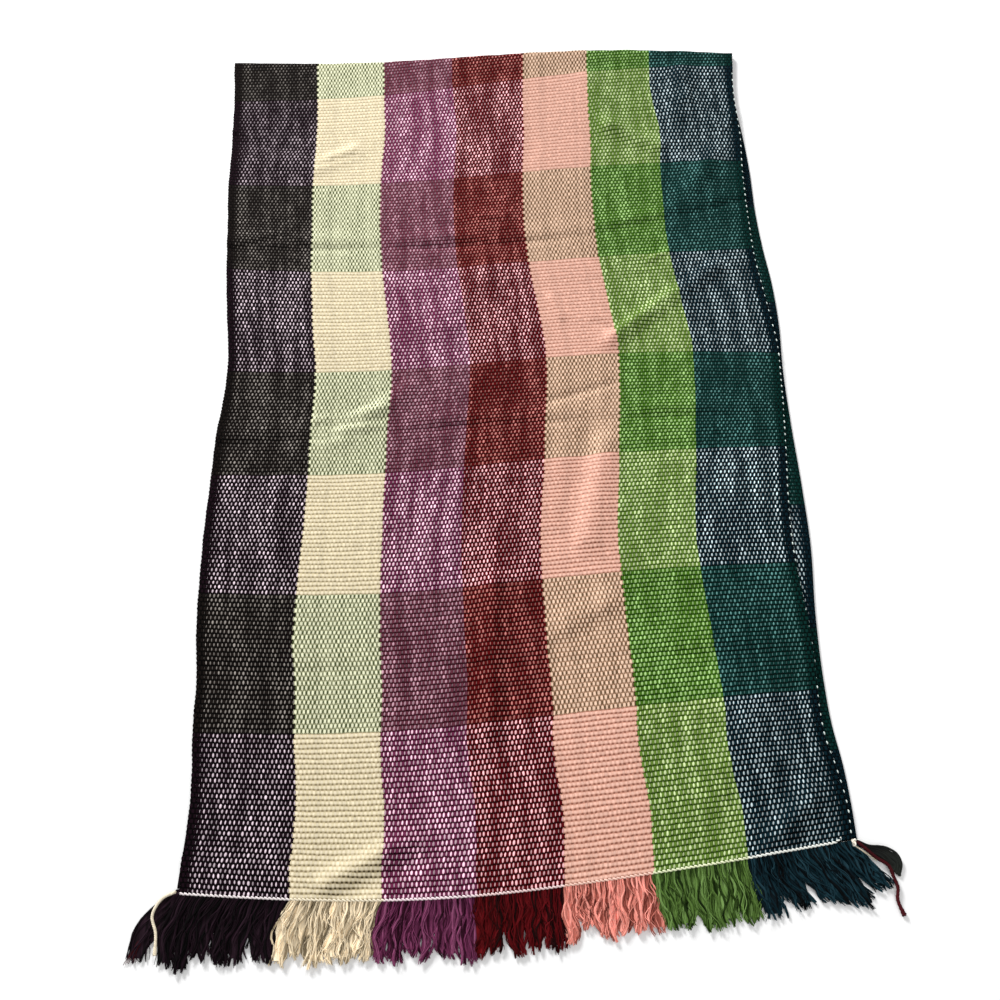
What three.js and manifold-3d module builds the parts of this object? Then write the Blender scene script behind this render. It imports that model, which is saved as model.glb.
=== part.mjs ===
// Handwoven plaid shawl, folded in half and lying flat, with a knotted, twined and fringed hem.
// Millimetres, +Z up. X runs across the cloth, +Y from the fringed ends to the fold.
// Z = 0 is the surface that the shawl rests on.
import * as THREE from 'three';
import Module from 'manifold-3d';

const wasm = await Module();
wasm.setup();

// ---------------------------------------------------------------- driving dimensions

const CLOTH = 2.4;            // thickness of the woven wall
const EDGE_CLOTH = 1.5;       // thickness of the wall at its two selvages
const REST = 3.95;            // height of the upper half's middle where it lies on the under half
const LIFT = 0.85;            // how far the upper half floats over that on average
const NOSE_HEIGHT = 6.4;      // height of the upper half's middle where it turns over the fold
const NOSE_REACH = 26;        // how far from the fold that rise is felt
const SEAM = 0.3;             // gap between pieces
const CORD_RADIUS = 1.3;      // twined cord along each hem
const BACKING_WIDTH = 1.8;    // strip that holds the roots of the fringe
const BACKING_HEIGHT = 1.5;
const LOCK_WIDTH = 3.4;       // a lock of fringe at its root
const LOCK_TIP_WIDTH = 1.5;
const LOCK_THICKNESS = 1.4;
const LOCKS = { upper: 16, under: 12 };    // locks in each stripe

// Warp stripes: share of the width each one ends at, colour and length of its fringe.
const STRIPES = [
  { name: 'aubergine', end: 0.160, colour: 0x2a1a26, fringe: 59 },
  { name: 'cream', end: 0.298, colour: 0xefe0bc, fringe: 54 },
  { name: 'plum', end: 0.438, colour: 0x6b3a5c, fringe: 53 },
  { name: 'red', end: 0.577, colour: 0x6e1015, fringe: 60 },
  { name: 'pink', end: 0.706, colour: 0xeba892, fringe: 55 },
  { name: 'green', end: 0.842, colour: 0x4f8a2f, fringe: 54 },
  { name: 'teal', end: 1.000, colour: 0x0d3f45, fringe: 53 },
];

// Sections across the upper half, from the hem to the fold. Each is a line from selvage to
// selvage: y at its middle, tilt is the rise from left to right, bow and swing bend it,
// left and right are its ends. crease is the depth of a storage fold along it.
const UPPER = [
  { y: -494, tilt: 47, bow: -22, swing: -2, left: -279, right: 334, crease: 0 },
  { y: -352, tilt: 41, bow: -10, swing: -4, left: -284, right: 323, crease: 0 },
  { y: -300, tilt: 17, bow: -5, swing: -3, left: -289, right: 321, crease: 0.6 },
  { y: -214, tilt: 32, bow: -7, swing: -5, left: -295, right: 317, crease: 0 },
  { y: -120, tilt: 34, bow: -2, swing: -4, left: -297, right: 318, crease: 0 },
  { y: -42, tilt: 42, bow: 5, swing: 0, left: -296, right: 321, crease: 1.0 },
  { y: 43, tilt: 25, bow: -2, swing: -6, left: -293, right: 324, crease: 0 },
  { y: 150, tilt: 40, bow: -14, swing: -2, left: -305, right: 314, crease: 0 },
  { y: 242, tilt: 75, bow: -31, swing: 4, left: -314, right: 310, crease: 1.3 },
  { y: 313, tilt: 60, bow: -10, swing: -4, left: -320, right: 310, crease: 0 },
  { y: 412, tilt: 55, bow: -2, swing: -8, left: -325, right: 309, crease: 0 },
  { y: 504, tilt: 17, bow: 4, swing: -7, left: -334, right: 314, crease: 0 },
];

// Sections across the under half, from the fold to the hem. It comes out beyond the upper half
// at the right selvage.
const UNDER = [
  { y: 410, tilt: -4, bow: 0, swing: -3, left: -318, right: 315 },
  { y: 300, tilt: -10, bow: 0, swing: -2, left: -312, right: 320 },
  { y: 160, tilt: -20, bow: 0, swing: 0, left: -301, right: 328 },
  { y: 20, tilt: -22, bow: 0, swing: 0, left: -288, right: 329 },
  { y: -120, tilt: -24, bow: -4, swing: 0, left: -291, right: 335 },
  { y: -250, tilt: -16, bow: -8, swing: 0, left: -288, right: 331 },
  { y: -370, tilt: 4, bow: -14, swing: 0, left: -279, right: 333 },
  { y: -492, tilt: 42, bow: -21, swing: -2, left: -284, right: 343 },
];

// Soft folds of the upper half: a ridge (height > 0) or trough (height < 0) from one end
// to the other, with its half width.
const FOLDS = [
  { x1: -16, y1: 244, x2: 16, y2: 244, half: 13, height: 4.2 },
  { x1: 136, y1: 78, x2: 262, y2: 178, half: 15, height: 5.0 },
  { x1: 170, y1: 78, x2: 292, y2: 170, half: 15, height: -1.6 },
  { x1: 150, y1: 388, x2: 206, y2: 356, half: 13, height: 3.6 },
  { x1: 120, y1: 470, x2: 150, y2: 388, half: 14, height: 2.4 },
  { x1: 79, y1: 470, x2: 45, y2: 350, half: 12, height: -1.8 },
  { x1: 277, y1: 340, x2: 238, y2: 280, half: 14, height: 3.6 },
  { x1: 246, y1: 480, x2: 238, y2: 410, half: 17, height: 3.4 },
  { x1: -314, y1: 372, x2: -248, y2: 355, half: 10, height: -2.0 },
  { x1: -300, y1: 338, x2: -240, y2: 330, half: 16, height: 2.4 },
  { x1: -214, y1: 322, x2: -168, y2: 346, half: 12, height: 1.8 },
  { x1: -111, y1: 22, x2: -186, y2: -44, half: 12, height: -1.8 },
  { x1: -92, y1: 8, x2: -160, y2: -52, half: 14, height: 2.2 },
  { x1: 80, y1: -170, x2: 106, y2: -50, half: 12, height: -1.8 },
  { x1: 104, y1: -168, x2: 128, y2: -60, half: 15, height: 2.6 },
  { x1: 8, y1: -222, x2: 4, y2: -366, half: 16, height: 3.2 },
  { x1: 62, y1: -268, x2: 122, y2: -238, half: 14, height: 2.8 },
  { x1: 172, y1: -228, x2: 206, y2: -246, half: 13, height: -1.6 },
  { x1: 236, y1: -330, x2: 262, y2: -402, half: 20, height: 3.2 },
  { x1: -150, y1: -520, x2: -62, y2: -470, half: 13, height: -2.6 },
  { x1: -166, y1: -494, x2: -84, y2: -446, half: 15, height: 3.8 },
  { x1: 206, y1: -482, x2: 234, y2: -440, half: 12, height: -1.8 },
  { x1: 262, y1: -480, x2: 302, y2: -432, half: 14, height: 4.0 },
  { x1: -240, y1: -180, x2: -200, y2: -60, half: 18, height: 1.8 },
  { x1: -60, y1: 90, x2: 10, y2: 180, half: 20, height: 1.8 },
];

// Loose yarn ends: points along the yarn as [x, y, z], its radius and colour.
const YARN_ENDS = [
  { name: 'weft_tail_cream', radius: 1.1, colour: 0xf3ead2,
    route: [[-283.6, -516, 4.6], [-294, -524, 4.0], [-302, -535, 3.7], [-300, -545, 3.7], [-296, -570, 3.7]] },
  { name: 'knot_end_cream', radius: 0.9, colour: 0xf3ead2,
    route: [[340.1, -475.4, 4.35], [349, -483.5, 3.0], [357, -488.5, 3.0]] },
  { name: 'knot_end_red', radius: 1.1, colour: 0x5e1418,
    route: [[341.0, -473.5, 5.8], [354, -482, 5.0], [366, -495, 4.0], [373.5, -508, 3.3], [373.5, -520, 2.4],
      [377, -535, 1.6]] },
  { name: 'knot_end_black', radius: 1.0, colour: 0x17131a,
    route: [[341.2, -470.6, 4.2], [352, -474.5, 3.3], [366, -479, 3.1], [377, -487, 2.9], [378.5, -502, 2.9]] },
];

// ---------------------------------------------------------------- section lines

// A smooth curve through the values of one column of a table, at the row number `at`.
function through(table, column, at) {
  const last = table.length - 1;
  const i = Math.min(Math.max(Math.floor(at), 0), last - 1);
  const f = at - i;
  const p = [-1, 0, 1, 2].map((k) => table[Math.min(Math.max(i + k, 0), last)][column]);
  const m1 = (p[2] - p[0]) / 2;
  const m2 = (p[3] - p[1]) / 2;
  const f2 = f * f;
  const f3 = f2 * f;
  return (2 * f3 - 3 * f2 + 1) * p[1] + (f3 - 2 * f2 + f) * m1 + (3 * f2 - 2 * f3) * p[2] + (f3 - f2) * m2;
}

// Plan position of a point: at is the row in the table, w runs from 0 at the left selvage to 1.
function planPoint(table, at, w) {
  const col = (name) => through(table, name, at);
  const x = col('left') + (col('right') - col('left')) * w;
  const y = col('y') + col('tilt') * (w - 0.5) + col('bow') * Math.sin(Math.PI * w)
    + col('swing') * Math.sin(2 * Math.PI * w);
  return [x, y];
}

// Distance from a point to a fold's line, with how far along the line it is.
function foldHeight(fold, x, y) {
  const dx = fold.x2 - fold.x1;
  const dy = fold.y2 - fold.y1;
  const along = ((x - fold.x1) * dx + (y - fold.y1) * dy) / (dx * dx + dy * dy);
  const t = Math.min(Math.max(along, 0), 1);
  const ex = x - fold.x1 - t * dx;
  const ey = y - fold.y1 - t * dy;
  return fold.height * Math.exp(-(ex * ex + ey * ey) / (fold.half * fold.half));
}

// Storage folds run all the way across at three sections: a sharp trough with a bank beyond it.
const CREASED = UPPER.map((row, index) => ({ ...row, index })).filter((row) => row.crease > 0);

function storageHeight(x, y) {
  let sum = 0;
  for (const row of CREASED) {
    const w = (x - row.left) / (row.right - row.left);
    const d = y - planPoint(UPPER, row.index, w)[1];
    sum += row.crease * (1.9 * Math.exp(-(((d - 15) / 12) ** 2)) - 1.6 * Math.exp(-((d / 6) ** 2)));
  }
  return sum;
}

// Height of the middle of the upper half: creases and swells over the under half, which they
// can't sink into, and the rise towards the fold.
function upperHeight(x, y) {
  let h = LIFT + storageHeight(x, y);
  h += 0.55 * Math.sin(x / 71 + y / 118 + 0.6) + 0.45 * Math.sin(x / 133 - y / 57);
  for (const fold of FOLDS) {
    h += foldHeight(fold, x, y);
  }
  const open = REST + (h + Math.sqrt(h * h + 0.3)) / 2;
  const w = (x - UPPER[UPPER.length - 1].left) / (UPPER[UPPER.length - 1].right - UPPER[UPPER.length - 1].left);
  const d = planPoint(UPPER, UPPER.length - 1, w)[1] - y;
  const near = Math.exp(-((d / NOSE_REACH) ** 2));
  return open * (1 - near) + NOSE_HEIGHT * near;
}

// Thickness of the wall, thinner towards both selvages.
function wallAt(w) {
  const edge = Math.min(w, 1 - w) * 620;
  return EDGE_CLOTH + (CLOTH - EDGE_CLOTH) * Math.min(edge / 12, 1);
}

// ---------------------------------------------------------------- the web

const HEM_INSET = CORD_RADIUS + SEAM;
const NOSE_STEPS = 6;
const noseRadius = (NOSE_HEIGHT - CLOTH / 2) / 2;

// Stations along the cloth, from the upper hem over the fold to the under hem. Each gives the
// outer and inner point of the wall at w.
function upperStation(at, shift) {
  return (w) => {
    let [x, y] = planPoint(UPPER, at, w);
    y += shift;
    const top = upperHeight(x, y);
    const sx = (upperHeight(x + 1, y) - upperHeight(x - 1, y)) / 2;
    const sy = (upperHeight(x, y + 1) - upperHeight(x, y - 1)) / 2;
    const n = new THREE.Vector3(-sx, -sy, 1).normalize().multiplyScalar(wallAt(w) / 2);
    const m = new THREE.Vector3(x, y, top);
    return { outer: m.clone().add(n), inner: m.clone().sub(n) };
  };
}

function noseStation(angle) {
  return (w) => {
    const [x, yFold] = planPoint(UPPER, UPPER.length - 1, w);
    const half = wallAt(w) / 2;
    const centre = half + noseRadius;
    const dir = new THREE.Vector3(0, Math.sin(angle), Math.cos(angle));
    const c = new THREE.Vector3(x, yFold - noseRadius - CLOTH / 2, centre);
    return {
      outer: c.clone().addScaledVector(dir, noseRadius + half),
      inner: c.clone().addScaledVector(dir, noseRadius - half),
    };
  };
}

function underStation(at, shift) {
  return (w) => {
    const [x, y] = planPoint(UNDER, at, w);
    return {
      outer: new THREE.Vector3(x, y + shift, 0),
      inner: new THREE.Vector3(x, y + shift, wallAt(w)),
    };
  };
}

function webStations() {
  const list = [upperStation(0, HEM_INSET)];
  UPPER.forEach((row, i) => {
    if (i === 0) {
      return;
    }
    const steps = i === UPPER.length - 1 ? [0.2, 0.4, 0.58, 0.74, 0.86] : [0.25, 0.5, 0.75];
    for (const f of steps) {
      list.push(upperStation(i - 1 + f, 0));
    }
    if (row.crease > 0) {
      list.push(upperStation(i, -7), upperStation(i, 0), upperStation(i, 7));
    } else if (i < UPPER.length - 1) {
      list.push(upperStation(i, 0));
    }
  });
  for (let k = 0; k <= NOSE_STEPS; k += 1) {
    list.push(noseStation((Math.PI * k) / NOSE_STEPS));
  }
  UNDER.forEach((row, i) => {
    const last = i === UNDER.length - 1;
    list.push(underStation(i, last ? HEM_INSET : 0));
  });
  return list;
}

function webColumns() {
  const columns = [0, 0.012];
  let from = 0;
  for (const stripe of STRIPES) {
    for (let k = 1; k <= 4; k += 1) {
      columns.push(from + ((stripe.end - from) * k) / 4);
    }
    from = stripe.end;
  }
  columns.splice(columns.length - 1, 0, 0.988);
  return columns;
}

function webGeometry() {
  const stations = webStations();
  const columns = webColumns();
  const nw = columns.length;
  const positions = [];
  for (const side of ['outer', 'inner']) {
    for (const station of stations) {
      for (const w of columns) {
        positions.push(...station(w)[side].toArray());
      }
    }
  }
  const outer = (s, c) => s * nw + c;
  const inner = (s, c) => (stations.length + s) * nw + c;
  const index = [];
  const quad = (a, b, c, d) => index.push(a, b, c, a, c, d);
  for (let s = 0; s < stations.length - 1; s += 1) {
    for (let c = 0; c < nw - 1; c += 1) {
      quad(outer(s, c), outer(s, c + 1), outer(s + 1, c + 1), outer(s + 1, c));
      quad(inner(s, c), inner(s + 1, c), inner(s + 1, c + 1), inner(s, c + 1));
    }
    quad(outer(s, 0), outer(s + 1, 0), inner(s + 1, 0), inner(s, 0));
    quad(outer(s, nw - 1), inner(s, nw - 1), inner(s + 1, nw - 1), outer(s + 1, nw - 1));
  }
  const end = stations.length - 1;
  for (let c = 0; c < nw - 1; c += 1) {
    quad(outer(0, c), inner(0, c), inner(0, c + 1), outer(0, c + 1));
    quad(outer(end, c), outer(end, c + 1), inner(end, c + 1), inner(end, c));
  }
  const geometry = new THREE.BufferGeometry();
  geometry.setAttribute('position', new THREE.Float32BufferAttribute(positions, 3));
  geometry.setIndex(index);
  return geometry;
}

// ---------------------------------------------------------------- hems and fringe

const HEMS = {
  upper: { table: UPPER, row: 0, z: (x, y) => upperHeight(x, y) },
  under: { table: UNDER, row: UNDER.length - 1, z: () => CORD_RADIUS + 0.05 },
};

// A point on a hem line, with the direction that leads away from the cloth.
function hemPoint(hem, w) {
  const [x, y] = planPoint(hem.table, hem.row, w);
  const [ax, ay] = planPoint(hem.table, hem.row, w - 0.01);
  const [bx, by] = planPoint(hem.table, hem.row, w + 0.01);
  const out = new THREE.Vector3(by - ay, ax - bx, 0).normalize();
  return { p: new THREE.Vector3(x, y, hem.z(x, y + HEM_INSET)), out };
}

function tube(route, radius, sides, steps) {
  const outline = new THREE.Shape();
  for (let k = 0; k < sides; k += 1) {
    const a = (2 * Math.PI * (k + 0.5)) / sides;
    const x = radius * Math.cos(a);
    const y = radius * Math.sin(a);
    if (k === 0) {
      outline.moveTo(x, y);
    } else {
      outline.lineTo(x, y);
    }
  }
  outline.closePath();
  return new THREE.ExtrudeGeometry(outline, { steps, extrudePath: new THREE.CatmullRomCurve3(route), curveSegments: 1 });
}

function hemCord(hem) {
  const route = [];
  for (let k = 0; k <= 28; k += 1) {
    route.push(hemPoint(hem, k / 28).p);
  }
  return tube(route, CORD_RADIUS, 6, 28);
}

// A closed solid through rings of four points.
function ringsGeometry(rings) {
  const positions = rings.flat().flatMap((p) => [p.x, p.y, p.z]);
  const index = [0, 2, 1, 0, 3, 2];
  for (let r = 0; r < rings.length - 1; r += 1) {
    for (let k = 0; k < 4; k += 1) {
      const a = r * 4 + k;
      const b = r * 4 + ((k + 1) % 4);
      index.push(a, b, b + 4, a, b + 4, a + 4);
    }
  }
  const e = (rings.length - 1) * 4;
  index.push(e, e + 1, e + 2, e, e + 2, e + 3);
  const geometry = new THREE.BufferGeometry();
  geometry.setAttribute('position', new THREE.Float32BufferAttribute(positions, 3));
  geometry.setIndex(index);
  return geometry;
}

// A ring of four points round p, square to the way `along`, width wide in plan.
function ring(p, along, width, height) {
  const side = new THREE.Vector3(along.y, -along.x, 0).normalize().multiplyScalar(width / 2);
  const up = new THREE.Vector3(0, 0, height / 2);
  return [
    p.clone().add(side).sub(up),
    p.clone().sub(side).sub(up),
    p.clone().sub(side).add(up),
    p.clone().add(side).add(up),
  ];
}

// How far a lock's tip leans along X: outwards at the two corners.
const LEAN = {
  upper: (w) => -13 * Math.exp(-w / 0.10) + 22 * Math.exp(-(1 - w) / 0.12),
  under: (w) => -38 * Math.exp(-w / 0.08) + 28 * Math.exp(-(1 - w) / 0.12),
};
const FLIGHT = {
  upper: { tip: 3.5, segments: 2 },
  under: { tip: 1.2, segments: 1 },
};

function lockGeometry(layer, stripe, w, number) {
  const hem = HEMS[layer];
  const { p, out } = hemPoint(hem, w);
  const flight = FLIGHT[layer];
  const length = stripe.fringe * (layer === 'under' ? 0.97 : 1) * (1 + 0.035 * Math.sin(number * 2.4));
  const lean = LEAN[layer](w);
  const start = HEM_INSET + BACKING_WIDTH * 0.45;
  const tipZ = flight.tip;
  const rings = [];
  for (let k = 0; k <= flight.segments; k += 1) {
    const f = k / flight.segments;
    const reach = length - start;
    const drop = Math.sqrt(Math.max(reach * reach - lean * lean, 1));
    const centre = p.clone().addScaledVector(out, start);
    centre.x += lean * (0.35 * f + 0.65 * f * f) + 0.55 * Math.sin(number * 1.7 + f * 5) * f;
    centre.y -= drop * f;
    centre.z = p.z + (tipZ - p.z) * f;
    const heading = new THREE.Vector3(lean * (0.35 + 1.3 * f), -drop, 0).normalize();
    const width = LOCK_WIDTH + (LOCK_TIP_WIDTH - LOCK_WIDTH) * f * f;
    rings.push(ring(centre, heading, width, LOCK_THICKNESS * (1 - 0.25 * f)));
  }
  return ringsGeometry(rings);
}

function backingGeometry(hem, from, to) {
  const rings = [];
  const gap = SEAM / 2 / 620;
  for (let k = 0; k <= 3; k += 1) {
    const w = from + gap + ((to - from - 2 * gap) * k) / 3;
    const { p, out } = hemPoint(hem, w);
    const centre = p.addScaledVector(out, HEM_INSET + BACKING_WIDTH / 2);
    rings.push(ring(centre, new THREE.Vector3(-out.y, out.x, 0), BACKING_WIDTH, BACKING_HEIGHT));
  }
  return ringsGeometry(rings);
}

function toSolid(geometry) {
  const mesh = new wasm.Mesh({
    numProp: 3,
    vertProperties: new Float32Array(geometry.attributes.position.array),
    triVerts: new Uint32Array(geometry.index.array),
  });
  return new wasm.Manifold(mesh);
}

function toGeometry(solid) {
  const mesh = solid.getMesh();
  const geometry = new THREE.BufferGeometry();
  geometry.setAttribute('position', new THREE.Float32BufferAttribute(mesh.vertProperties, 3));
  geometry.setIndex(new THREE.Uint32BufferAttribute(mesh.triVerts, 1));
  return geometry;
}

function fringeGeometry(layer, stripe, from) {
  let solid = toSolid(backingGeometry(HEMS[layer], from, stripe.end));
  const count = LOCKS[layer];
  for (let k = 0; k < count; k += 1) {
    const w = from + ((stripe.end - from) * (k + 0.5)) / count;
    solid = solid.add(toSolid(lockGeometry(layer, stripe, w, k + 1)));
  }
  return toGeometry(solid);
}

// ---------------------------------------------------------------- the scene graph

const group = new THREE.Group();

function place(name, geometry, colour, roughness) {
  const material = new THREE.MeshStandardMaterial({ color: colour, roughness, metalness: 0 });
  const mesh = new THREE.Mesh(geometry, material);
  mesh.name = name;
  group.add(mesh);
  return mesh;
}

place('web', webGeometry(), 0x7d6a5a, 0.9);
place('hem_cord_upper', hemCord(HEMS.upper), 0xf1e6cc, 0.85);
place('hem_cord_under', hemCord(HEMS.under), 0xf1e6cc, 0.85);

for (const layer of ['upper', 'under']) {
  let from = 0;
  for (const stripe of STRIPES) {
    place(`fringe_${layer}_${stripe.name}`, fringeGeometry(layer, stripe, from), stripe.colour, 0.8);
    from = stripe.end;
  }
}

for (const yarn of YARN_ENDS) {
  const route = yarn.route.map((p) => new THREE.Vector3(...p));
  place(yarn.name, tube(route, yarn.radius, 6, 8), yarn.colour, 0.8);
}

const knot = place('corner_knot', new THREE.SphereGeometry(3.2, 10, 7), 0xf3ead2, 0.8);
knot.position.set(337.5, -472.3, 5.6);
knot.scale.set(1, 0.9, 0.8);

export default group;
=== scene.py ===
"""Dresses a handwoven plaid shawl that lies folded in half, with its hems, knot and fringe."""
import logging
import math
from dataclasses import dataclass, field
from enum import Enum
from typing import NamedTuple

import bpy
import numpy as np
from numpy.typing import NDArray
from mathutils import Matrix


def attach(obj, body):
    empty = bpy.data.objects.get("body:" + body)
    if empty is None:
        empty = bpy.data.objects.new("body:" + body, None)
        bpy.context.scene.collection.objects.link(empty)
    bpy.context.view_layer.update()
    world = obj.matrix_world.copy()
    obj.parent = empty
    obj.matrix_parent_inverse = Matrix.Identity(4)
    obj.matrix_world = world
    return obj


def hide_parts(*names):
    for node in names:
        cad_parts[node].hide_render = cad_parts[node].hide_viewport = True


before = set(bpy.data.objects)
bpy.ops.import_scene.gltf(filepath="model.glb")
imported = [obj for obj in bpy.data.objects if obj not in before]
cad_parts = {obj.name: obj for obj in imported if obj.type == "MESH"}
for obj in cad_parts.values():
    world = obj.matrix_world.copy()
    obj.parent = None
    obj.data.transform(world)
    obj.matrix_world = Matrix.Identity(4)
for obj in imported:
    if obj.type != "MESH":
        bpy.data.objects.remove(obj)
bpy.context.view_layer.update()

LOG = logging.getLogger("shawl")
MM = 0.001
Array = NDArray[np.float64]
Colour = tuple[float, float, float, float]
Route = list[tuple[float, float, float]]


# ------------------------------------------------------------------ sizes of the cloth


class Half(Enum):
    """The two halves of the folded web."""

    UPPER = "upper"
    UNDER = "under"


class Stripe(NamedTuple):
    """One warp stripe: its name, its warp ends, and its yarns' colours in the cream and the olive bands.

    Cover is how much of the weft shows, and painted sheen how pale the painted sheen on the fringe is. Fade
    is how much paler the warp is at the fold than at the hem, and even how little the weft's brightness
    varies.
    """

    name: str
    ends: int
    warp: str
    warp_olive: str
    weft: str
    weft_olive: str
    fringe: str
    cover: float
    painted_sheen: float
    fade: float
    even: float


STRIPES: tuple[Stripe, ...] = (
    Stripe("aubergine", 47, "180912", "16100e", "d8c8d0", "8c8680", "1a0a14", 0.92, 0.012, 0.17, 0.0),
    Stripe("cream", 41, "ecdfc2", "e2e3c2", "e6d8b4", "505838", "ffecca", 1.0, 0.15, 0.0, 1.0),
    Stripe("plum", 41, "662645", "602e3c", "f4ccdc", "b8929e", "78345a", 1.12, 0.09, 0.3, 0.0),
    Stripe("red", 41, "54060e", "520609", "f8c0c4", "bb7a74", "5c0209", 1.04, 0.012, 0.09, 0.0),
    Stripe("pink", 38, "f0c0ae", "eccab0", "ecb8a4", "6c543c", "f89e8e", 1.0, 0.2, -0.14, 1.0),
    Stripe("green", 40, "607e30", "406818", "cedfa8", "a4c882", "5c7c38", 1.18, 0.1, -0.12, 0.4),
    Stripe("teal", 46, "061e26", "072e2a", "c4d4d8", "5c8884", "06262f", 0.88, 0.03, 0.0, 0.0),
)
PALE_STRIPES: tuple[bool, ...] = (False, True, False, False, True, False, False)
STRIPE_SHARES: tuple[float, ...] = (0.0, 0.160, 0.298, 0.438, 0.577, 0.706, 0.842, 1.0)
ENDS: int = sum(s.ends for s in STRIPES)


class Line(NamedTuple):
    """A line across the cloth: y in its middle, its rise from left to right, and its bends."""

    pick: float
    y: float
    tilt: float
    bow: float
    swing: float


# Edges of the weft bands on the upper half, from the hem: cream, olive, cream and so on.
UPPER_LINES: tuple[Line, ...] = (
    Line(0, -494, 47, -22, -2),
    Line(31, -351, 42, -10, -4),
    Line(59, -223, 34, -7, -5),
    Line(90, -80, 35, -4, -5),
    Line(118, 34, 25, 1, -6),
    Line(149, 185, 29, -10, -5),
    Line(177, 304, 36, -5, -6),
    Line(208, 459, 60, 0, -8),
)
FOLD_LINE = Line(218, 504, 17, 4, -7)
# The same bands go on round the fold, down the under half to its hem.
UNDER_LINES: tuple[Line, ...] = (
    Line(236, 420, -28, 0, -3),
    Line(267, 278, -28, 0, -2),
    Line(295, 149, -28, 0, 0),
    Line(326, 8, -26, 0, 0),
    Line(354, -114.5, -14, -4, 0),
    Line(385, -258, -16, -8, 0),
    Line(413, -380, -1, -14, 0),
    Line(444, -492, 42, -21, -2),
)
BAND_PICKS: tuple[int, ...] = (0, 31, 59, 90, 118, 149, 177, 208, 236, 267, 295, 326, 354, 385, 413, 444)
# The picks of the fold, of the line where the stripes end under it, and of the under hem.
FOLD_PICK, SPLIT_PICK, LAST_PICK = 208, 226, 444
# The flat cloth in metres: its width, and its length over the fold and past it.
WIDTH, TOP_LENGTH, UNDER_LENGTH = 0.622, 1.045, 1.0


class WeftSpot(NamedTuple):
    """A place where the weft shows brighter (gain > 0) or duller (gain < 0), in ends and picks."""

    end: float
    pick: float
    wide: float
    tall: float
    gain: float


WEFT_SPOTS: tuple[WeftSpot, ...] = (
    WeftSpot(20, 204, 66, 36, -0.5),
    WeftSpot(150, 192, 22, 16, 0.12),
    WeftSpot(228, 194, 22, 18, -0.26),
    WeftSpot(272, 76, 26, 14, 0.45),
    WeftSpot(272, 12, 24, 18, -0.22),
)


class Edge(NamedTuple):
    """A point of a selvage, in mm."""

    y: float
    x: float


LEFT_UPPER: tuple[Edge, ...] = (
    Edge(-520, -279.3), Edge(-500, -281.4), Edge(-471, -279.7), Edge(-435, -279.4), Edge(-371, -284.8),
    Edge(-320, -287.0), Edge(-280, -291.8), Edge(-235, -295.0), Edge(-150, -297.4), Edge(-97, -297.3),
    Edge(-34, -296.5), Edge(-5, -294.1), Edge(32, -293.6), Edge(100, -300.8), Edge(165, -308.8),
    Edge(212, -312.6), Edge(292, -319.8), Edge(366, -322.6), Edge(432, -326.8), Edge(505, -333.6),
)
RIGHT_UPPER: tuple[Edge, ...] = (
    Edge(-471, 336.5), Edge(-441, 336.8), Edge(-404, 330.5), Edge(-375, 323.6), Edge(-350, 321.8),
    Edge(-298, 323.0), Edge(-251, 320.6), Edge(-220, 318.2), Edge(-177, 315.4), Edge(-121, 316.9),
    Edge(-70, 320.4), Edge(24, 324.7), Edge(67, 325.4), Edge(102, 321.7), Edge(146, 316.4),
    Edge(190, 311.4), Edge(234, 309.8), Edge(317, 309.1), Edge(373, 311.4),
    Edge(434, 309.4), Edge(513, 313.3),
)
LEFT_UNDER: tuple[Edge, ...] = (
    Edge(-514, -284), Edge(-379, -279), Edge(-250, -288), Edge(-108, -291), Edge(21, -288),
    Edge(163, -302), Edge(292, -313), Edge(434, -322), Edge(505, -333.6),
)
RIGHT_UNDER: tuple[Edge, ...] = (
    Edge(-473, 343.5), Edge(-441, 342.4), Edge(-405, 339.7), Edge(-361, 333.4), Edge(-314, 331.0),
    Edge(-255, 331.4), Edge(-175, 335.6), Edge(-108, 334.3), Edge(-32, 331.1), Edge(35, 329.9),
    Edge(98, 331.8), Edge(152, 329.6), Edge(205, 323.9), Edge(254, 320.6), Edge(320, 319.6),
    Edge(376, 316.4), Edge(438, 311.0), Edge(513, 313.3),
)


class Seams(NamedTuple):
    """How far the seams between the stripes stray to the right at one height, in mm."""

    y: float
    cream: float
    plum: float
    red: float
    pink: float
    green: float
    teal: float


SEAMS: tuple[Seams, ...] = (
    Seams(-480, 1, 0, -2, -7, -5, 0),
    Seams(-411, 0, -3, -7, -10, -7, -3),
    Seams(-350, 0, 1, -3, -4, -1, 4),
    Seams(-290, -3, 0, -3, -7, -4, -1),
    Seams(-170, 5, 3, -2, -5, -3, -3),
    Seams(-94, 5, 2, -2, -2, -1, 0),
    Seams(74, -3, -2, -2, -2, 0, 2),
    Seams(228, 1, -4, -5, -8, -4, -2),
    Seams(385, 4, 1, 0, -4, -3, 0),
    Seams(460, 4, 1, -3, -1, -1, -6),
)


class StorageFold(NamedTuple):
    """A crease right across the upper half where the shawl was once put away folded."""

    y: float
    tilt: float
    bow: float
    swing: float
    left: float
    right: float
    depth: float


STORAGE_FOLDS: tuple[StorageFold, ...] = (
    StorageFold(-300, 17, -5, -3, -289, 321, 0.35),
    StorageFold(-42, 42, 5, 0, -296, 321, 0.7),
    StorageFold(235, 75, -31, 4, -314, 310, 1.0),
)


class SoftFold(NamedTuple):
    """A ridge (height > 0) or trough (height < 0) from one point to another, in mm."""

    x1: float
    y1: float
    x2: float
    y2: float
    half: float
    height: float


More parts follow.
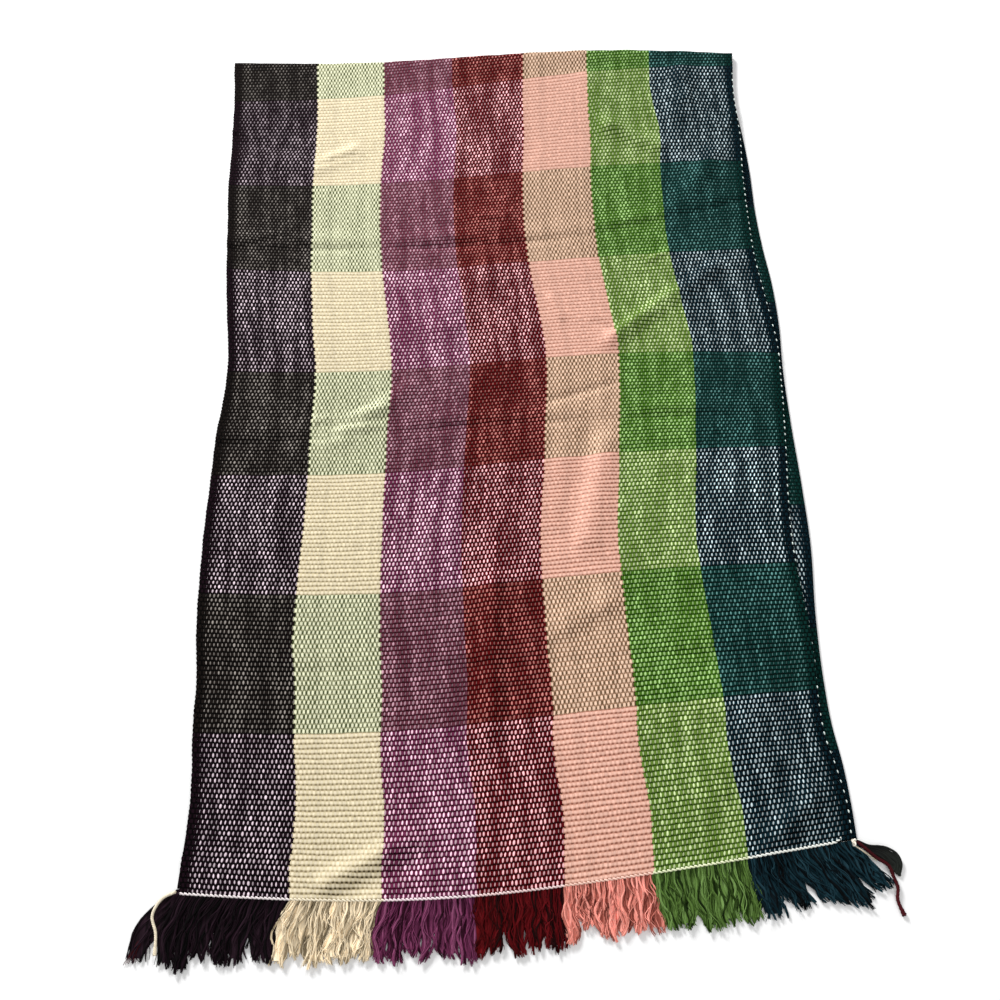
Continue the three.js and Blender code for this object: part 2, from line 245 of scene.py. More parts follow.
# Sharper creases than the solids have, from the way the shawl was handled.
FINE_FOLDS: tuple[SoftFold, ...] = (
    SoftFold(-320, 371, -254, 350, 3.5, -2.0),
    SoftFold(-324, 379, -256, 358, 5, 2.2),
    SoftFold(-216, 324, -169, 340, 4.5, -0.8),
    SoftFold(-199, 338, -170, 353, 6, 0.8),
    SoftFold(-20, 243, 15, 237, 4, -1.0),
    SoftFold(-15, 228, 26, 230, 7, 0.9),
    SoftFold(-60, 210, -17, 207, 5, -1.0),
    SoftFold(141, 80, 214, 141, 5, 0.9),
    SoftFold(187, 183, 211, 197, 4.5, 1.7),
    SoftFold(70, 129, 82, 105, 6, 1.4),
    SoftFold(121, 96, 139, 88, 5, -1.3),
    SoftFold(242, 486, 248, 431, 8, 1.8),
    SoftFold(248, 431, 283, 388, 8, 1.8),
    SoftFold(234, 334, 270, 272, 9, 1.6),
    SoftFold(325, 445, 295, 385, 6, 1.2),
    SoftFold(-297, 200, -250, 216, 5, -1.5),
    SoftFold(-250, 216, -217, 197, 5, -1.5),
    SoftFold(-190, -31, -118, -16, 6, 1.5),
    SoftFold(-188, -41, -117, -30, 4, -1.1),
    SoftFold(64, -8, 136, 15, 5, -1.2),
    SoftFold(200, -484, 231, -449, 8, -1.4),
    SoftFold(16, -227, 19, -355, 10, -1.6),
    SoftFold(-3, -227, 1, -355, 14, 1.6),
    SoftFold(58, -280, 126, -242, 6, 0.5),
    SoftFold(181, -251, 215, -225, 10, -1.4),
    SoftFold(228, -403, 272, -335, 14, 1.8),
    SoftFold(264, -471, 298, -442, 9, 1.6),
)
# The larger folds, which the solids have as well.
SOFT_FOLDS: tuple[SoftFold, ...] = (
    SoftFold(-16, 244, 16, 244, 12, 2.4),
    SoftFold(136, 72, 262, 172, 11, 3.2),
    SoftFold(170, 70, 292, 162, 13, -1.2),
    SoftFold(150, 388, 206, 356, 13, 3.6),
    SoftFold(120, 470, 150, 388, 14, 2.4),
    SoftFold(79, 470, 45, 350, 12, -1.8),
    SoftFold(277, 340, 238, 280, 14, 3.6),
    SoftFold(246, 480, 238, 410, 17, 3.4),
    SoftFold(-314, 372, -248, 355, 10, -2.0),
    SoftFold(-300, 338, -240, 330, 16, 2.4),
    SoftFold(-214, 322, -168, 346, 12, 1.8),
    SoftFold(-111, 22, -186, -44, 12, -1.8),
    SoftFold(-92, 8, -160, -52, 14, 2.2),
    SoftFold(80, -170, 106, -50, 12, -1.8),
    SoftFold(104, -168, 128, -60, 15, 2.6),
    SoftFold(8, -222, 4, -366, 16, 3.2),
    SoftFold(62, -268, 122, -238, 14, 1.9),
    SoftFold(172, -228, 206, -246, 13, -1.6),
    SoftFold(236, -330, 262, -402, 20, 3.2),
    SoftFold(-138, -524, -62, -489, 9, -1.8),
    SoftFold(-148, -509, -74, -471, 10, 2.6),
    SoftFold(206, -482, 234, -440, 12, -1.8),
    SoftFold(262, -480, 302, -432, 14, 4.0),
    SoftFold(-240, -180, -200, -60, 18, 1.8),
    SoftFold(-60, 90, 10, 180, 20, 1.8),
)


# ------------------------------------------------------------------ the form of the cloth


def smooth(keys: Array, values: Array, at: Array) -> Array:
    """Evaluates a smooth curve through a table.

    Args:
        keys: rising positions of the table's rows.
        values: the value at each row.
        at: the positions to evaluate.

    Returns:
        The values at those positions, held at both ends.
    """
    at = np.clip(at, keys[0], keys[-1])
    i = np.clip(np.searchsorted(keys, at, side="right") - 1, 0, len(keys) - 2)
    step = keys[i + 1] - keys[i]
    f = (at - keys[i]) / step
    slope = np.gradient(values, keys)
    f2, f3 = f * f, f * f * f
    return (
        (2 * f3 - 3 * f2 + 1) * values[i]
        + (f3 - 2 * f2 + f) * step * slope[i]
        + (3 * f2 - 2 * f3) * values[i + 1]
        + (f3 - f2) * step * slope[i + 1]
    )


def scatter(a: Array | float, b: Array | float, salt: float = 0.0) -> Array:
    """Gives a fixed pseudo-random number for each pair of values.

    Args:
        a: the first value of each pair.
        b: the second value of each pair.
        salt: a number that tells one use from another.

    Returns:
        Numbers from 0 to 1.
    """
    v = np.sin(np.asarray(a) * 12.9898 + np.asarray(b) * 78.233 + salt * 37.719) * 43758.5453
    return v - np.floor(v)


def bent(y: Array | float, tilt: Array | float, bow: Array | float, swing: Array | float, w: Array) -> Array:
    """Gives y along a line that runs across the cloth.

    Args:
        y: the line's y in its middle.
        tilt: its rise from left to right.
        bow: how far its middle arches.
        swing: how far it waves to and fro.
        w: the shares of the width to evaluate, from 0 to 1.

    Returns:
        y at each share.
    """
    return y + tilt * (w - 0.5) + bow * np.sin(math.pi * w) + swing * np.sin(2 * math.pi * w)


@dataclass
class ShawlForm:
    """The shape of the folded cloth, from a warp end and a weft pick to a point in mm.

    Wall is its thickness, and rest and lift say how high the middle of its upper half lies. The nose is
    its rounded fold. Each storage fold has a groove, with a swell beside it on the side of the fold.
    """

    wall: float = 2.4
    rest: float = 3.95
    lift: float = 0.85
    nose_height: float = 6.4
    nose_reach: float = 26.0
    nose_left: float = -334.0
    nose_width: float = 648.0
    floor_gap: float = 0.15
    cord_height: float = 1.6
    swell: float = 1.7
    swell_off: float = 13.0
    swell_half: float = 11.0
    groove: float = 1.6
    groove_half: float = 4.8
    under_stray_from: float = 380.0
    under_stray_over: float = 100.0
    nose_radius: float = field(init=False)

    def __post_init__(self) -> None:
        """Works out the radius of the fold's middle."""
        self.nose_radius = (self.nose_height - self.wall / 2) / 2

    def share(self, end: Array) -> Array:
        """Gives how far across the cloth a warp end lies, from 0 to 1."""
        ends = np.cumsum([0] + [s.ends for s in STRIPES]).astype(float)
        return np.interp(end, ends, STRIPE_SHARES)

    def line_y(self, lines: tuple[Line, ...], pick: Array, w: Array) -> Array:
        """Gives y on the weft line of a pick.

        Args:
            lines: the weft lines of one half.
            pick: the pick of each point.
            w: the share of the width of each point.

        Returns:
            y of each point.
        """
        keys, *columns = np.array(lines, float).T
        return bent(*(smooth(keys, column, pick) for column in columns), w)

    def fold_y(self, w: Array) -> Array:
        """Gives y of the fold's outermost line at the share w."""
        return bent(*FOLD_LINE[1:], w)

    def across(self, half: Half, y: Array, w: Array) -> Array:
        """Gives x on a half, between its two selvages.

        Args:
            half: the half of the web.
            y: y of each point.
            w: the share of the width of each point.

        Returns:
            x of each point.
        """
        sides = (LEFT_UPPER, RIGHT_UPPER) if half is Half.UPPER else (LEFT_UNDER, RIGHT_UNDER)
        left, right = (smooth(*np.array(side, float).T, y) for side in sides)
        stray = np.zeros_like(w + y)
        for k in range(1, len(STRIPES)):
            here = np.interp(y, [s.y for s in SEAMS], [s[k] for s in SEAMS])
            before, seam, after = STRIPE_SHARES[k - 1 : k + 2]
            rise, fall = (w - before) / (seam - before), (after - w) / (after - seam)
            stray = stray + here * np.clip(np.minimum(rise, fall), 0, 1)
        if half is Half.UNDER:
            stray = stray * np.clip((y - self.under_stray_from) / self.under_stray_over, 0, 1)
        return left + (right - left) * w + stray

    def height(self, x: Array, y: Array) -> Array:
        """Gives the height of the upper half's middle, with its creases and swells.

        Args:
            x: x of each point.
            y: y of each point.

        Returns:
            z of each point.
        """
        h = self.lift + 0.55 * np.sin(x / 71 + y / 118 + 0.6) + 0.45 * np.sin(x / 133 - y / 57)
        for s in STORAGE_FOLDS:
            d = y - bent(*s[:4], (x - s.left) / (s.right - s.left))
            depth = s.depth * (0.7 + 0.3 * np.sin(x / 37 + s.y) + 0.2 * np.sin(x / 19 + 2 * s.y))
            ridge = self.swell * np.exp(-(((d - self.swell_off) / self.swell_half) ** 2))
            h = h + depth * (ridge - self.groove * np.exp(-((d / self.groove_half) ** 2)))
        for f in SOFT_FOLDS + FINE_FOLDS:
            dx, dy = f.x2 - f.x1, f.y2 - f.y1
            t = np.clip(((x - f.x1) * dx + (y - f.y1) * dy) / (dx * dx + dy * dy), 0, 1)
            ex, ey = x - f.x1 - t * dx, y - f.y1 - t * dy
            h = h + f.height * np.exp(-(ex * ex + ey * ey) / (f.half * f.half))
        free = self.rest + (h + np.sqrt(h * h + 0.3)) / 2
        near = np.exp(-(((self.fold_y((x - self.nose_left) / self.nose_width) - y) / self.nose_reach) ** 2))
        return free * (1 - near) + self.nose_height * near

    def light_facing(self, points: Array) -> Array:
        """Gives how far the cloth tips towards the key light, for the light and shade painted on the weave.

        Args:
            points: points of the cloth, with a last axis of three.

        Returns:
            A number for each point, from 0 (away) to 1 (towards).
        """
        x, y, step = points[..., 0], points[..., 1], 1.5
        to_x, to_y = -0.45, 0.89
        ahead = self.height(x + step * to_x, y + step * to_y)
        behind = self.height(x - step * to_x, y - step * to_y)
        return np.clip(0.5 + (behind - ahead) / (2 * step) * 0.95, 0, 1)

    def outside(self, end: Array, pick: Array, relief: Array) -> Array:
        """Gives points of the cloth's outer face, over the fold and a little way under it.

        Args:
            end: warp end of each point.
            pick: weft pick of each point, from 0 at the upper hem.
            relief: how far the point stands out from the cloth's mean face, in mm.

        Returns:
            The points, with a last axis of three.
        """
        w = self.share(end)
        half_wall, r = self.wall / 2, self.nose_radius
        reach = r + half_wall
        fold = self.fold_y(w)
        start = self.line_y(UPPER_LINES, np.full_like(pick, FOLD_PICK), w)
        landing = self.line_y(UNDER_LINES, np.full_like(pick, UNDER_LINES[0].pick), w)
        flat = fold - reach - start
        total = flat + math.pi * r + fold - reach - landing
        run = (pick - FOLD_PICK) / (UNDER_LINES[0].pick - FOLD_PICK) * total
        y_up = np.where(run < 0, self.line_y(UPPER_LINES, pick, w), start + run)
        angle = np.clip((run - flat) / r, 0, math.pi)
        past = np.clip(run - flat - math.pi * r, 0, None)
        on_top = run < flat
        out = reach + relief * (0.65 + 0.35 * np.cos(angle))
        y = np.where(on_top, y_up, fold - reach + out * np.sin(angle) - past)
        x = np.where(past > 0, self.across(Half.UNDER, y, w), self.across(Half.UPPER, y, w))
        z_top = self.height(x, y) + half_wall + relief
        z_turn = reach + self.floor_gap + 0.3 * relief * (1 - np.cos(angle)) + out * np.cos(angle)
        z_turn = np.maximum(z_turn, 0.08)
        return np.stack([x, y, np.where(on_top, z_top, z_turn)], axis=-1)

    def under(self, end: Array, pick: Array) -> tuple[Array, Array]:
        """Gives points of the under half, past the fold.

        Args:
            end: warp end of each point.
            pick: weft pick of each point.

        Returns:
            x and y of the points.
        """
        w = self.share(end)
        near = self.outside(end, np.full_like(pick, SPLIT_PICK), np.zeros_like(pick))[..., 1]
        first = self.line_y(UNDER_LINES, np.full_like(pick, UNDER_LINES[0].pick), w)
        f = np.clip((pick - SPLIT_PICK) / (UNDER_LINES[0].pick - SPLIT_PICK), 0, 1)
        y = np.where(f < 1, near + (first - near) * f, self.line_y(UNDER_LINES, pick, w))
        return self.across(Half.UNDER, y, w), y

    def hem(self, half: Half, w: Array) -> Array:
        """Gives points of a hem's line at the height of its twined cord.

        Args:
            half: the half of the web.
            w: the share of the width of each point.

        Returns:
            The points, one a row.
        """
        if half is Half.UPPER:
            y = self.line_y(UPPER_LINES, np.zeros_like(w), w)
            x = self.across(half, y, w)
            return np.stack([x, y, self.height(x, y + self.cord_height) + 0.25], axis=-1)
        y = self.line_y(UNDER_LINES, np.full_like(w, LAST_PICK), w)
        return np.stack([self.across(half, y, w), y, np.full_like(w, self.cord_height)], axis=-1)


FORM = ShawlForm()


# ------------------------------------------------------------------ mesh helpers


def linear(code: str) -> Colour:
    """Turns a screen colour into linear light.

    Args:
        code: the colour in six hexadecimal figures.

    Returns:
        Its red, green and blue, and 1.
    """
    parts = [int(code[k : k + 2], 16) / 255 for k in (0, 2, 4)]
    r, g, b = (c / 12.92 if c <= 0.04045 else ((c + 0.055) / 1.055) ** 2.4 for c in parts)
    return (r, g, b, 1.0)


def make_object(
    name: str,
    points: Array,
    faces: Array | list[list[int]],
    layers: dict[str, Array],
    finish: bpy.types.Material,
) -> bpy.types.Object:
    """Makes a smooth mesh object at the origin.

    Args:
        name: the piece's name.
        points: its vertices in mm.
        faces: its faces, as rows of vertex numbers.
        layers: UV layers by name, with a value for each vertex or for each corner.
        finish: its material.

    Returns:
        The new object, linked to the scene.
    """
    mesh = bpy.data.meshes.new(name)
    sizes = np.array([len(f) for f in faces])
    corners = np.concatenate([np.asarray(f) for f in faces]) if isinstance(faces, list) else faces.ravel()
    mesh.vertices.add(len(points))
    mesh.vertices.foreach_set("co", (points * MM).astype(np.float32).ravel())
    mesh.loops.add(len(corners))
    mesh.loops.foreach_set("vertex_index", corners.astype(np.int32))
    mesh.polygons.add(len(sizes))
    starts = np.concatenate([[0], np.cumsum(sizes)[:-1]])
    mesh.polygons.foreach_set("loop_start", starts.astype(np.int32))
    mesh.polygons.foreach_set("use_smooth", np.ones(len(sizes), bool))
    mesh.update(calc_edges=True)
    for layer, uv in layers.items():
        per_corner = uv if len(uv) == len(corners) and len(uv) != len(points) else uv[corners]
        mesh.uv_layers.new(name=layer).data.foreach_set("uv", per_corner.astype(np.float32).ravel())
    mesh.validate()
    mesh.materials.append(finish)
    piece = bpy.data.objects.new(name, mesh)
    bpy.context.scene.collection.objects.link(piece)
    return piece


def fit(piece: bpy.types.Object, node: str = "") -> bpy.types.Object:
    """Fits a piece to the part's frame.

    Args:
        piece: the piece.
        node: the solid that it stands for, if there is one.

    Returns:
        The same piece.
    """
    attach(piece, "root")
    if node:
        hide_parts(node)
    return piece


def grid_faces(rows: int, columns: int) -> Array:
    """Gives the quads of a grid of points.

    Args:
        rows: its rows of points.
        columns: its columns of points.

    Returns:
        The quads, as rows of four vertex numbers.
    """
    r, c = np.meshgrid(np.arange(rows - 1), np.arange(columns - 1), indexing="ij")
    a = (r * columns + c).ravel()
    return np.stack([a, a + 1, a + columns + 1, a + columns], axis=1)


def ring_faces(lines: int, steps: int, sides: int) -> Array:
    """Gives the quads of open tubes whose rings are stored one after the other.

    Args:
        lines: the number of tubes.
        steps: the rings of each tube.
        sides: the points of each ring.

    Returns:
        The quads, as rows of four vertex numbers.
    """
    index = np.arange(lines * steps * sides).reshape(lines, steps, sides)
    nxt = np.roll(index, -1, axis=2)
    return np.stack([index[:, :-1], index[:, 1:], nxt[:, 1:], nxt[:, :-1]], axis=-1).reshape(-1, 4)


def tubes(paths: Array, radii: Array, sides: int) -> tuple[Array, Array, Array]:
    """Makes round yarns along many paths at once.

    Args:
        paths: centres in mm, one path a row: yarns by points by three.
        radii: the radius at each point: yarns by points.
        sides: sides of the yarn's section.

    Returns:
        The vertices, the faces, and a UV with the yarn's number and the share of its length.
    """
    count, steps, _ = paths.shape
    along = np.gradient(paths, axis=1)
    along /= np.linalg.norm(along, axis=2, keepdims=True) + 1e-9
    up = np.where(np.abs(along[..., 2:3]) > 0.9, [[[1.0, 0.0, 0.0]]], [[[0.0, 0.0, 1.0]]])
    side = np.cross(along, up)
    side /= np.linalg.norm(side, axis=2, keepdims=True) + 1e-9
    over = np.cross(side, along)
    angle = 2 * math.pi * np.arange(sides) / sides
    ring = side[:, :, None, :] * np.cos(angle)[:, None] + over[:, :, None, :] * np.sin(angle)[:, None]
    points = paths[:, :, None, :] + ring * radii[:, :, None, None]
    number = np.broadcast_to(np.arange(count, dtype=float)[:, None, None], (count, steps, sides))
    share = np.broadcast_to(np.linspace(0, 1, steps)[None, :, None], (count, steps, sides))
    uv = np.stack([number, share], axis=-1).reshape(-1, 2)
    return points.reshape(-1, 3), ring_faces(count, steps, sides), uv


def yarn_object(
    name: str, paths: Array, radii: Array | float, sides: int, finish: bpy.types.Material
) -> bpy.types.Object:
    """Makes an object of round yarns.

    Args:
        name: the piece's name.
        paths: centres in mm: yarns by points by three.
        radii: the radius at each point, or one for all.
        sides: sides of the yarn's section.
        finish: its material.

    Returns:
        The new object.
    """
    points, faces, uv = tubes(paths, np.broadcast_to(radii, paths.shape[:2]), sides)
    return make_object(name, points, faces, {"Yarn": uv}, finish)


def lengths(line: Array) -> Array:
    """Gives how far along a line each of its points lies.

    Args:
        line: the points of the line.

    Returns:
        The length up to each point.
    """
    return np.concatenate([[0], np.cumsum(np.linalg.norm(np.diff(line, axis=0), axis=1))])


def through_points(route: Route, count: int) -> Array:
    """Gives points on a smooth curve through a route.

    Args:
        route: the points that the curve runs through.
        count: how many points to give.

    Returns:
        The points, evenly spaced, one a row.
    """
    p = np.array(route, float)
    keys = lengths(p)
    at = np.linspace(0, keys[-1], count)
    return np.stack([smooth(keys, column, at) for column in p.T], axis=1)


# ------------------------------------------------------------------ finishes


class Sum(Enum):
    """What a Math node works out."""

    ADD = "ADD"
    SUBTRACT = "SUBTRACT"
    MULTIPLY = "MULTIPLY"
    DIVIDE = "DIVIDE"
    POWER = "POWER"
    SQRT = "SQRT"
    EXPONENT = "EXPONENT"
    SINE = "SINE"
    SIGN = "SIGN"
    ABSOLUTE = "ABSOLUTE"
    FLOOR = "FLOOR"
    MODULO = "FLOORED_MODULO"
    MINIMUM = "MINIMUM"
    MAXIMUM = "MAXIMUM"


class Blend(Enum):
    """How a Mix node joins two colours."""

    MIX = "MIX"
    MULTIPLY = "MULTIPLY"


class Value:
    """The output of a node. The usual signs work on it, and each one adds a Math node."""

    def __init__(self, graph: "Graph", socket: bpy.types.NodeSocket) -> None:
        """Holds an output and the graph that it belongs to."""
        self.graph = graph
        self.socket = socket

    def __add__(self, other: "Term") -> "Value":
        """Adds a number or an output."""
        return self.graph.math(Sum.ADD, self, other)

    def __sub__(self, other: "Term") -> "Value":
        """Takes a number or an output away."""
        return self.graph.math(Sum.SUBTRACT, self, other)

    def __rsub__(self, other: float) -> "Value":
        """Takes this output away from a number."""
        return self.graph.math(Sum.SUBTRACT, other, self)

    def __mul__(self, other: "Term") -> "Value":
        """Multiplies by a number or an output."""
        return self.graph.math(Sum.MULTIPLY, self, other)

    def __truediv__(self, other: "Term") -> "Value":
        """Divides by a number or an output."""
        return self.graph.math(Sum.DIVIDE, self, other)

    def __pow__(self, other: float) -> "Value":
        """Raises this output to a power."""
        return self.graph.math(Sum.POWER, self, other)

    __radd__ = __add__
    __rmul__ = __mul__


Term = Value | float
Shade = Value | Colour
# The two ends of a value, and what a smooth step makes of them.
Ramp = tuple[float, float, float, float]
# Painted shade: down between its neighbours wool gets deeper and darker by these, and no darker than the
# last.
SHADE_DEEPER, SHADE_DARKER, SHADE_LEAST = 0.6, 0.45, 0.1


class Graph:
    """A material's nodes, with short ways to add the usual ones."""

    def __init__(self, name: str) -> None:
        """Starts a material with a Principled shader.

        Args:
            name: the material's name.
        """
        self.material = bpy.data.materials.new(name)
        self.material.use_nodes = True
        self.nodes = self.material.node_tree.nodes
        self.shader = self.nodes["Principled BSDF"]

    def feed(self, socket: bpy.types.NodeSocket, value: Term | Shade) -> None:
        """Links a socket to an output, or sets its number or colour.

        Args:
            socket: the input to feed.
            value: the output, number or colour.
        """
        if isinstance(value, Value):
            self.material.node_tree.links.new(value.socket, socket)
        else:
            socket.default_value = value

    def add(
        self, kind: str, values: dict[int | str, Term | Shade], out: int | str = 0, **options: str
    ) -> Value:
        """Adds a node.

        Args:
            kind: the node's type, without the words in front that all shader nodes share.
            values: what feeds its inputs, by their numbers or names.
            out: the output to give.
            options: the node's own settings.

        Returns:
            The output.
        """
        node = self.nodes.new(f"ShaderNode{kind}")
        for option, choice in options.items():
            setattr(node, option, choice)
        for key, value in values.items():
            self.feed(node.inputs[key], value)
        return Value(self, node.outputs[out])

    def math(self, kind: Sum, a: Term, b: Term = 0.0) -> Value:
        """Adds a Math node."""
        return self.add("Math", {0: a, 1: b}, operation=kind.value)

    def ramp(self, value: Term, low: Term, high: Term, to_low: Term = 0.0, to_high: Term = 1.0) -> Value:
        """Adds a smooth step of value, from to_low at low to to_high at high."""
        ends = dict(enumerate((value, low, high, to_low, to_high)))
        return self.add("MapRange", ends, interpolation_type="SMOOTHSTEP")

    def mix(self, factor: Term, a: Shade, b: Shade, kind: Blend = Blend.MIX) -> Value:
        """Adds a Mix node for colours."""
        return self.add("Mix", {0: factor, 6: a, 7: b}, 2, data_type="RGBA", blend_type=kind.value)

    def steps(self, value: Term, stops: list[tuple[float, str | float]]) -> Value:
        """Adds hard steps of colour, or of a number up to 1.

        Args:
            value: what the steps follow.
            stops: where each step starts, and its colour code or its number.

        Returns:
            The colour, or the number as a grey.
        """
        node = self.nodes.new("ShaderNodeValToRGB")
        node.color_ramp.interpolation = "CONSTANT"
        items = node.color_ramp.elements
        while len(items) < len(stops):
            items.new(0.5)
        for item, (at, _) in zip(items, stops):
            item.position = at
        for item, (_, code) in zip(items, stops):
            item.color = linear(code) if isinstance(code, str) else (code, code, code, 1.0)
        self.feed(node.inputs[0], value)
        return Value(self, node.outputs[0])

    def by_stripe(self, at: Term, each: list[str] | list[float]) -> Value:
        """Adds hard steps with one colour or number for each stripe, at the share of all warp ends."""
        starts = [sum(s.ends for s in STRIPES[:n]) / ENDS for n in range(len(STRIPES))]
        return self.steps(at, list(zip(starts, each)))

    def tinted(self, colour: Shade, value: Term) -> Value:
        """Multiplies a colour by a number."""
        return self.mix(1.0, colour, self.join(value, value, value), Blend.MULTIPLY)

    def painted_shade(self, colour: Shade, depth: Term) -> Value:
        """Paints shade on wool down between its neighbours, where its colour grows deeper as well as darker.
        """
        deeper = self.add("Gamma", {0: colour, 1: depth * SHADE_DEEPER + 1.0})
        return self.tinted(deeper, self.math(Sum.MAXIMUM, depth * -SHADE_DARKER + 1.0, SHADE_LEAST))

    def join(self, x: Term, y: Term, z: Term = 0.0) -> Value:
        """Joins three numbers to a vector."""
        return self.add("CombineXYZ", {0: x, 1: y, 2: z})

    def noise(self, vector: Value, scale: float = 1.0, detail: float = 2.0) -> Value:
        """Adds a Noise texture."""
        return self.add("TexNoise", {"Vector": vector, "Scale": scale, "Detail": detail})

    def speck(self, vector: Value) -> Value:
        """Adds a White Noise value that is the same wherever the vector is the same."""
        return self.add("TexWhiteNoise", {"Vector": vector}, "Value", noise_dimensions="3D")

    def uv(self, layer: str) -> tuple[Value, Value]:
        """Reads the two coordinates of a UV layer."""
        first = self.add("SeparateXYZ", {0: self.add("UVMap", {}, uv_map=layer)})
        return first, Value(self, first.socket.node.outputs[1])

    def finish(self, colour: Shade, roughness: float, specular: float) -> bpy.types.Material:
        """Gives the shader its colour and gloss.

        Args:
            colour: the base colour.
            roughness: how dull it is.
            specular: how strongly it reflects.

        Returns:
            The material.
        """
        self.feed(self.shader.inputs["Base Color"], colour)
        self.shader.inputs["Roughness"].default_value = roughness
        self.shader.inputs["Specular IOR Level"].default_value = specular
        return self.material

    def bump(self, height: Value, strength: float, distance: float) -> None:
        """Gives the shader a bump from a height."""
        bump = self.add("Bump", {"Strength": strength, "Distance": distance, "Height": height})
        self.feed(self.shader.inputs["Normal"], bump)


class Crossing(NamedTuple):
    """Where a place lies in the weave, as outputs of a graph.

    End and pick are its plain place, and e and p the same with the yarns' small strays. They cross in the
    cell i, j, at fe, fp from the cell's middle. Weft_up is 1 where the weft lies on top. Cell and patch
    are random numbers, for one cell and for a patch of the cloth. Here is the cell's share of all warp
    ends. Olive is 1 in an olive band, pale in a pale stripe, and plain where both yarns are pale.
    """

    end: Value
    pick: Value
    e: Value
    p: Value
    i: Value
    j: Value
    fe: Value
    fp: Value
    weft_up: Value
    cell: Value
    patch: Value
    here: Value
    olive: Value
    pale: Value
    plain: Value


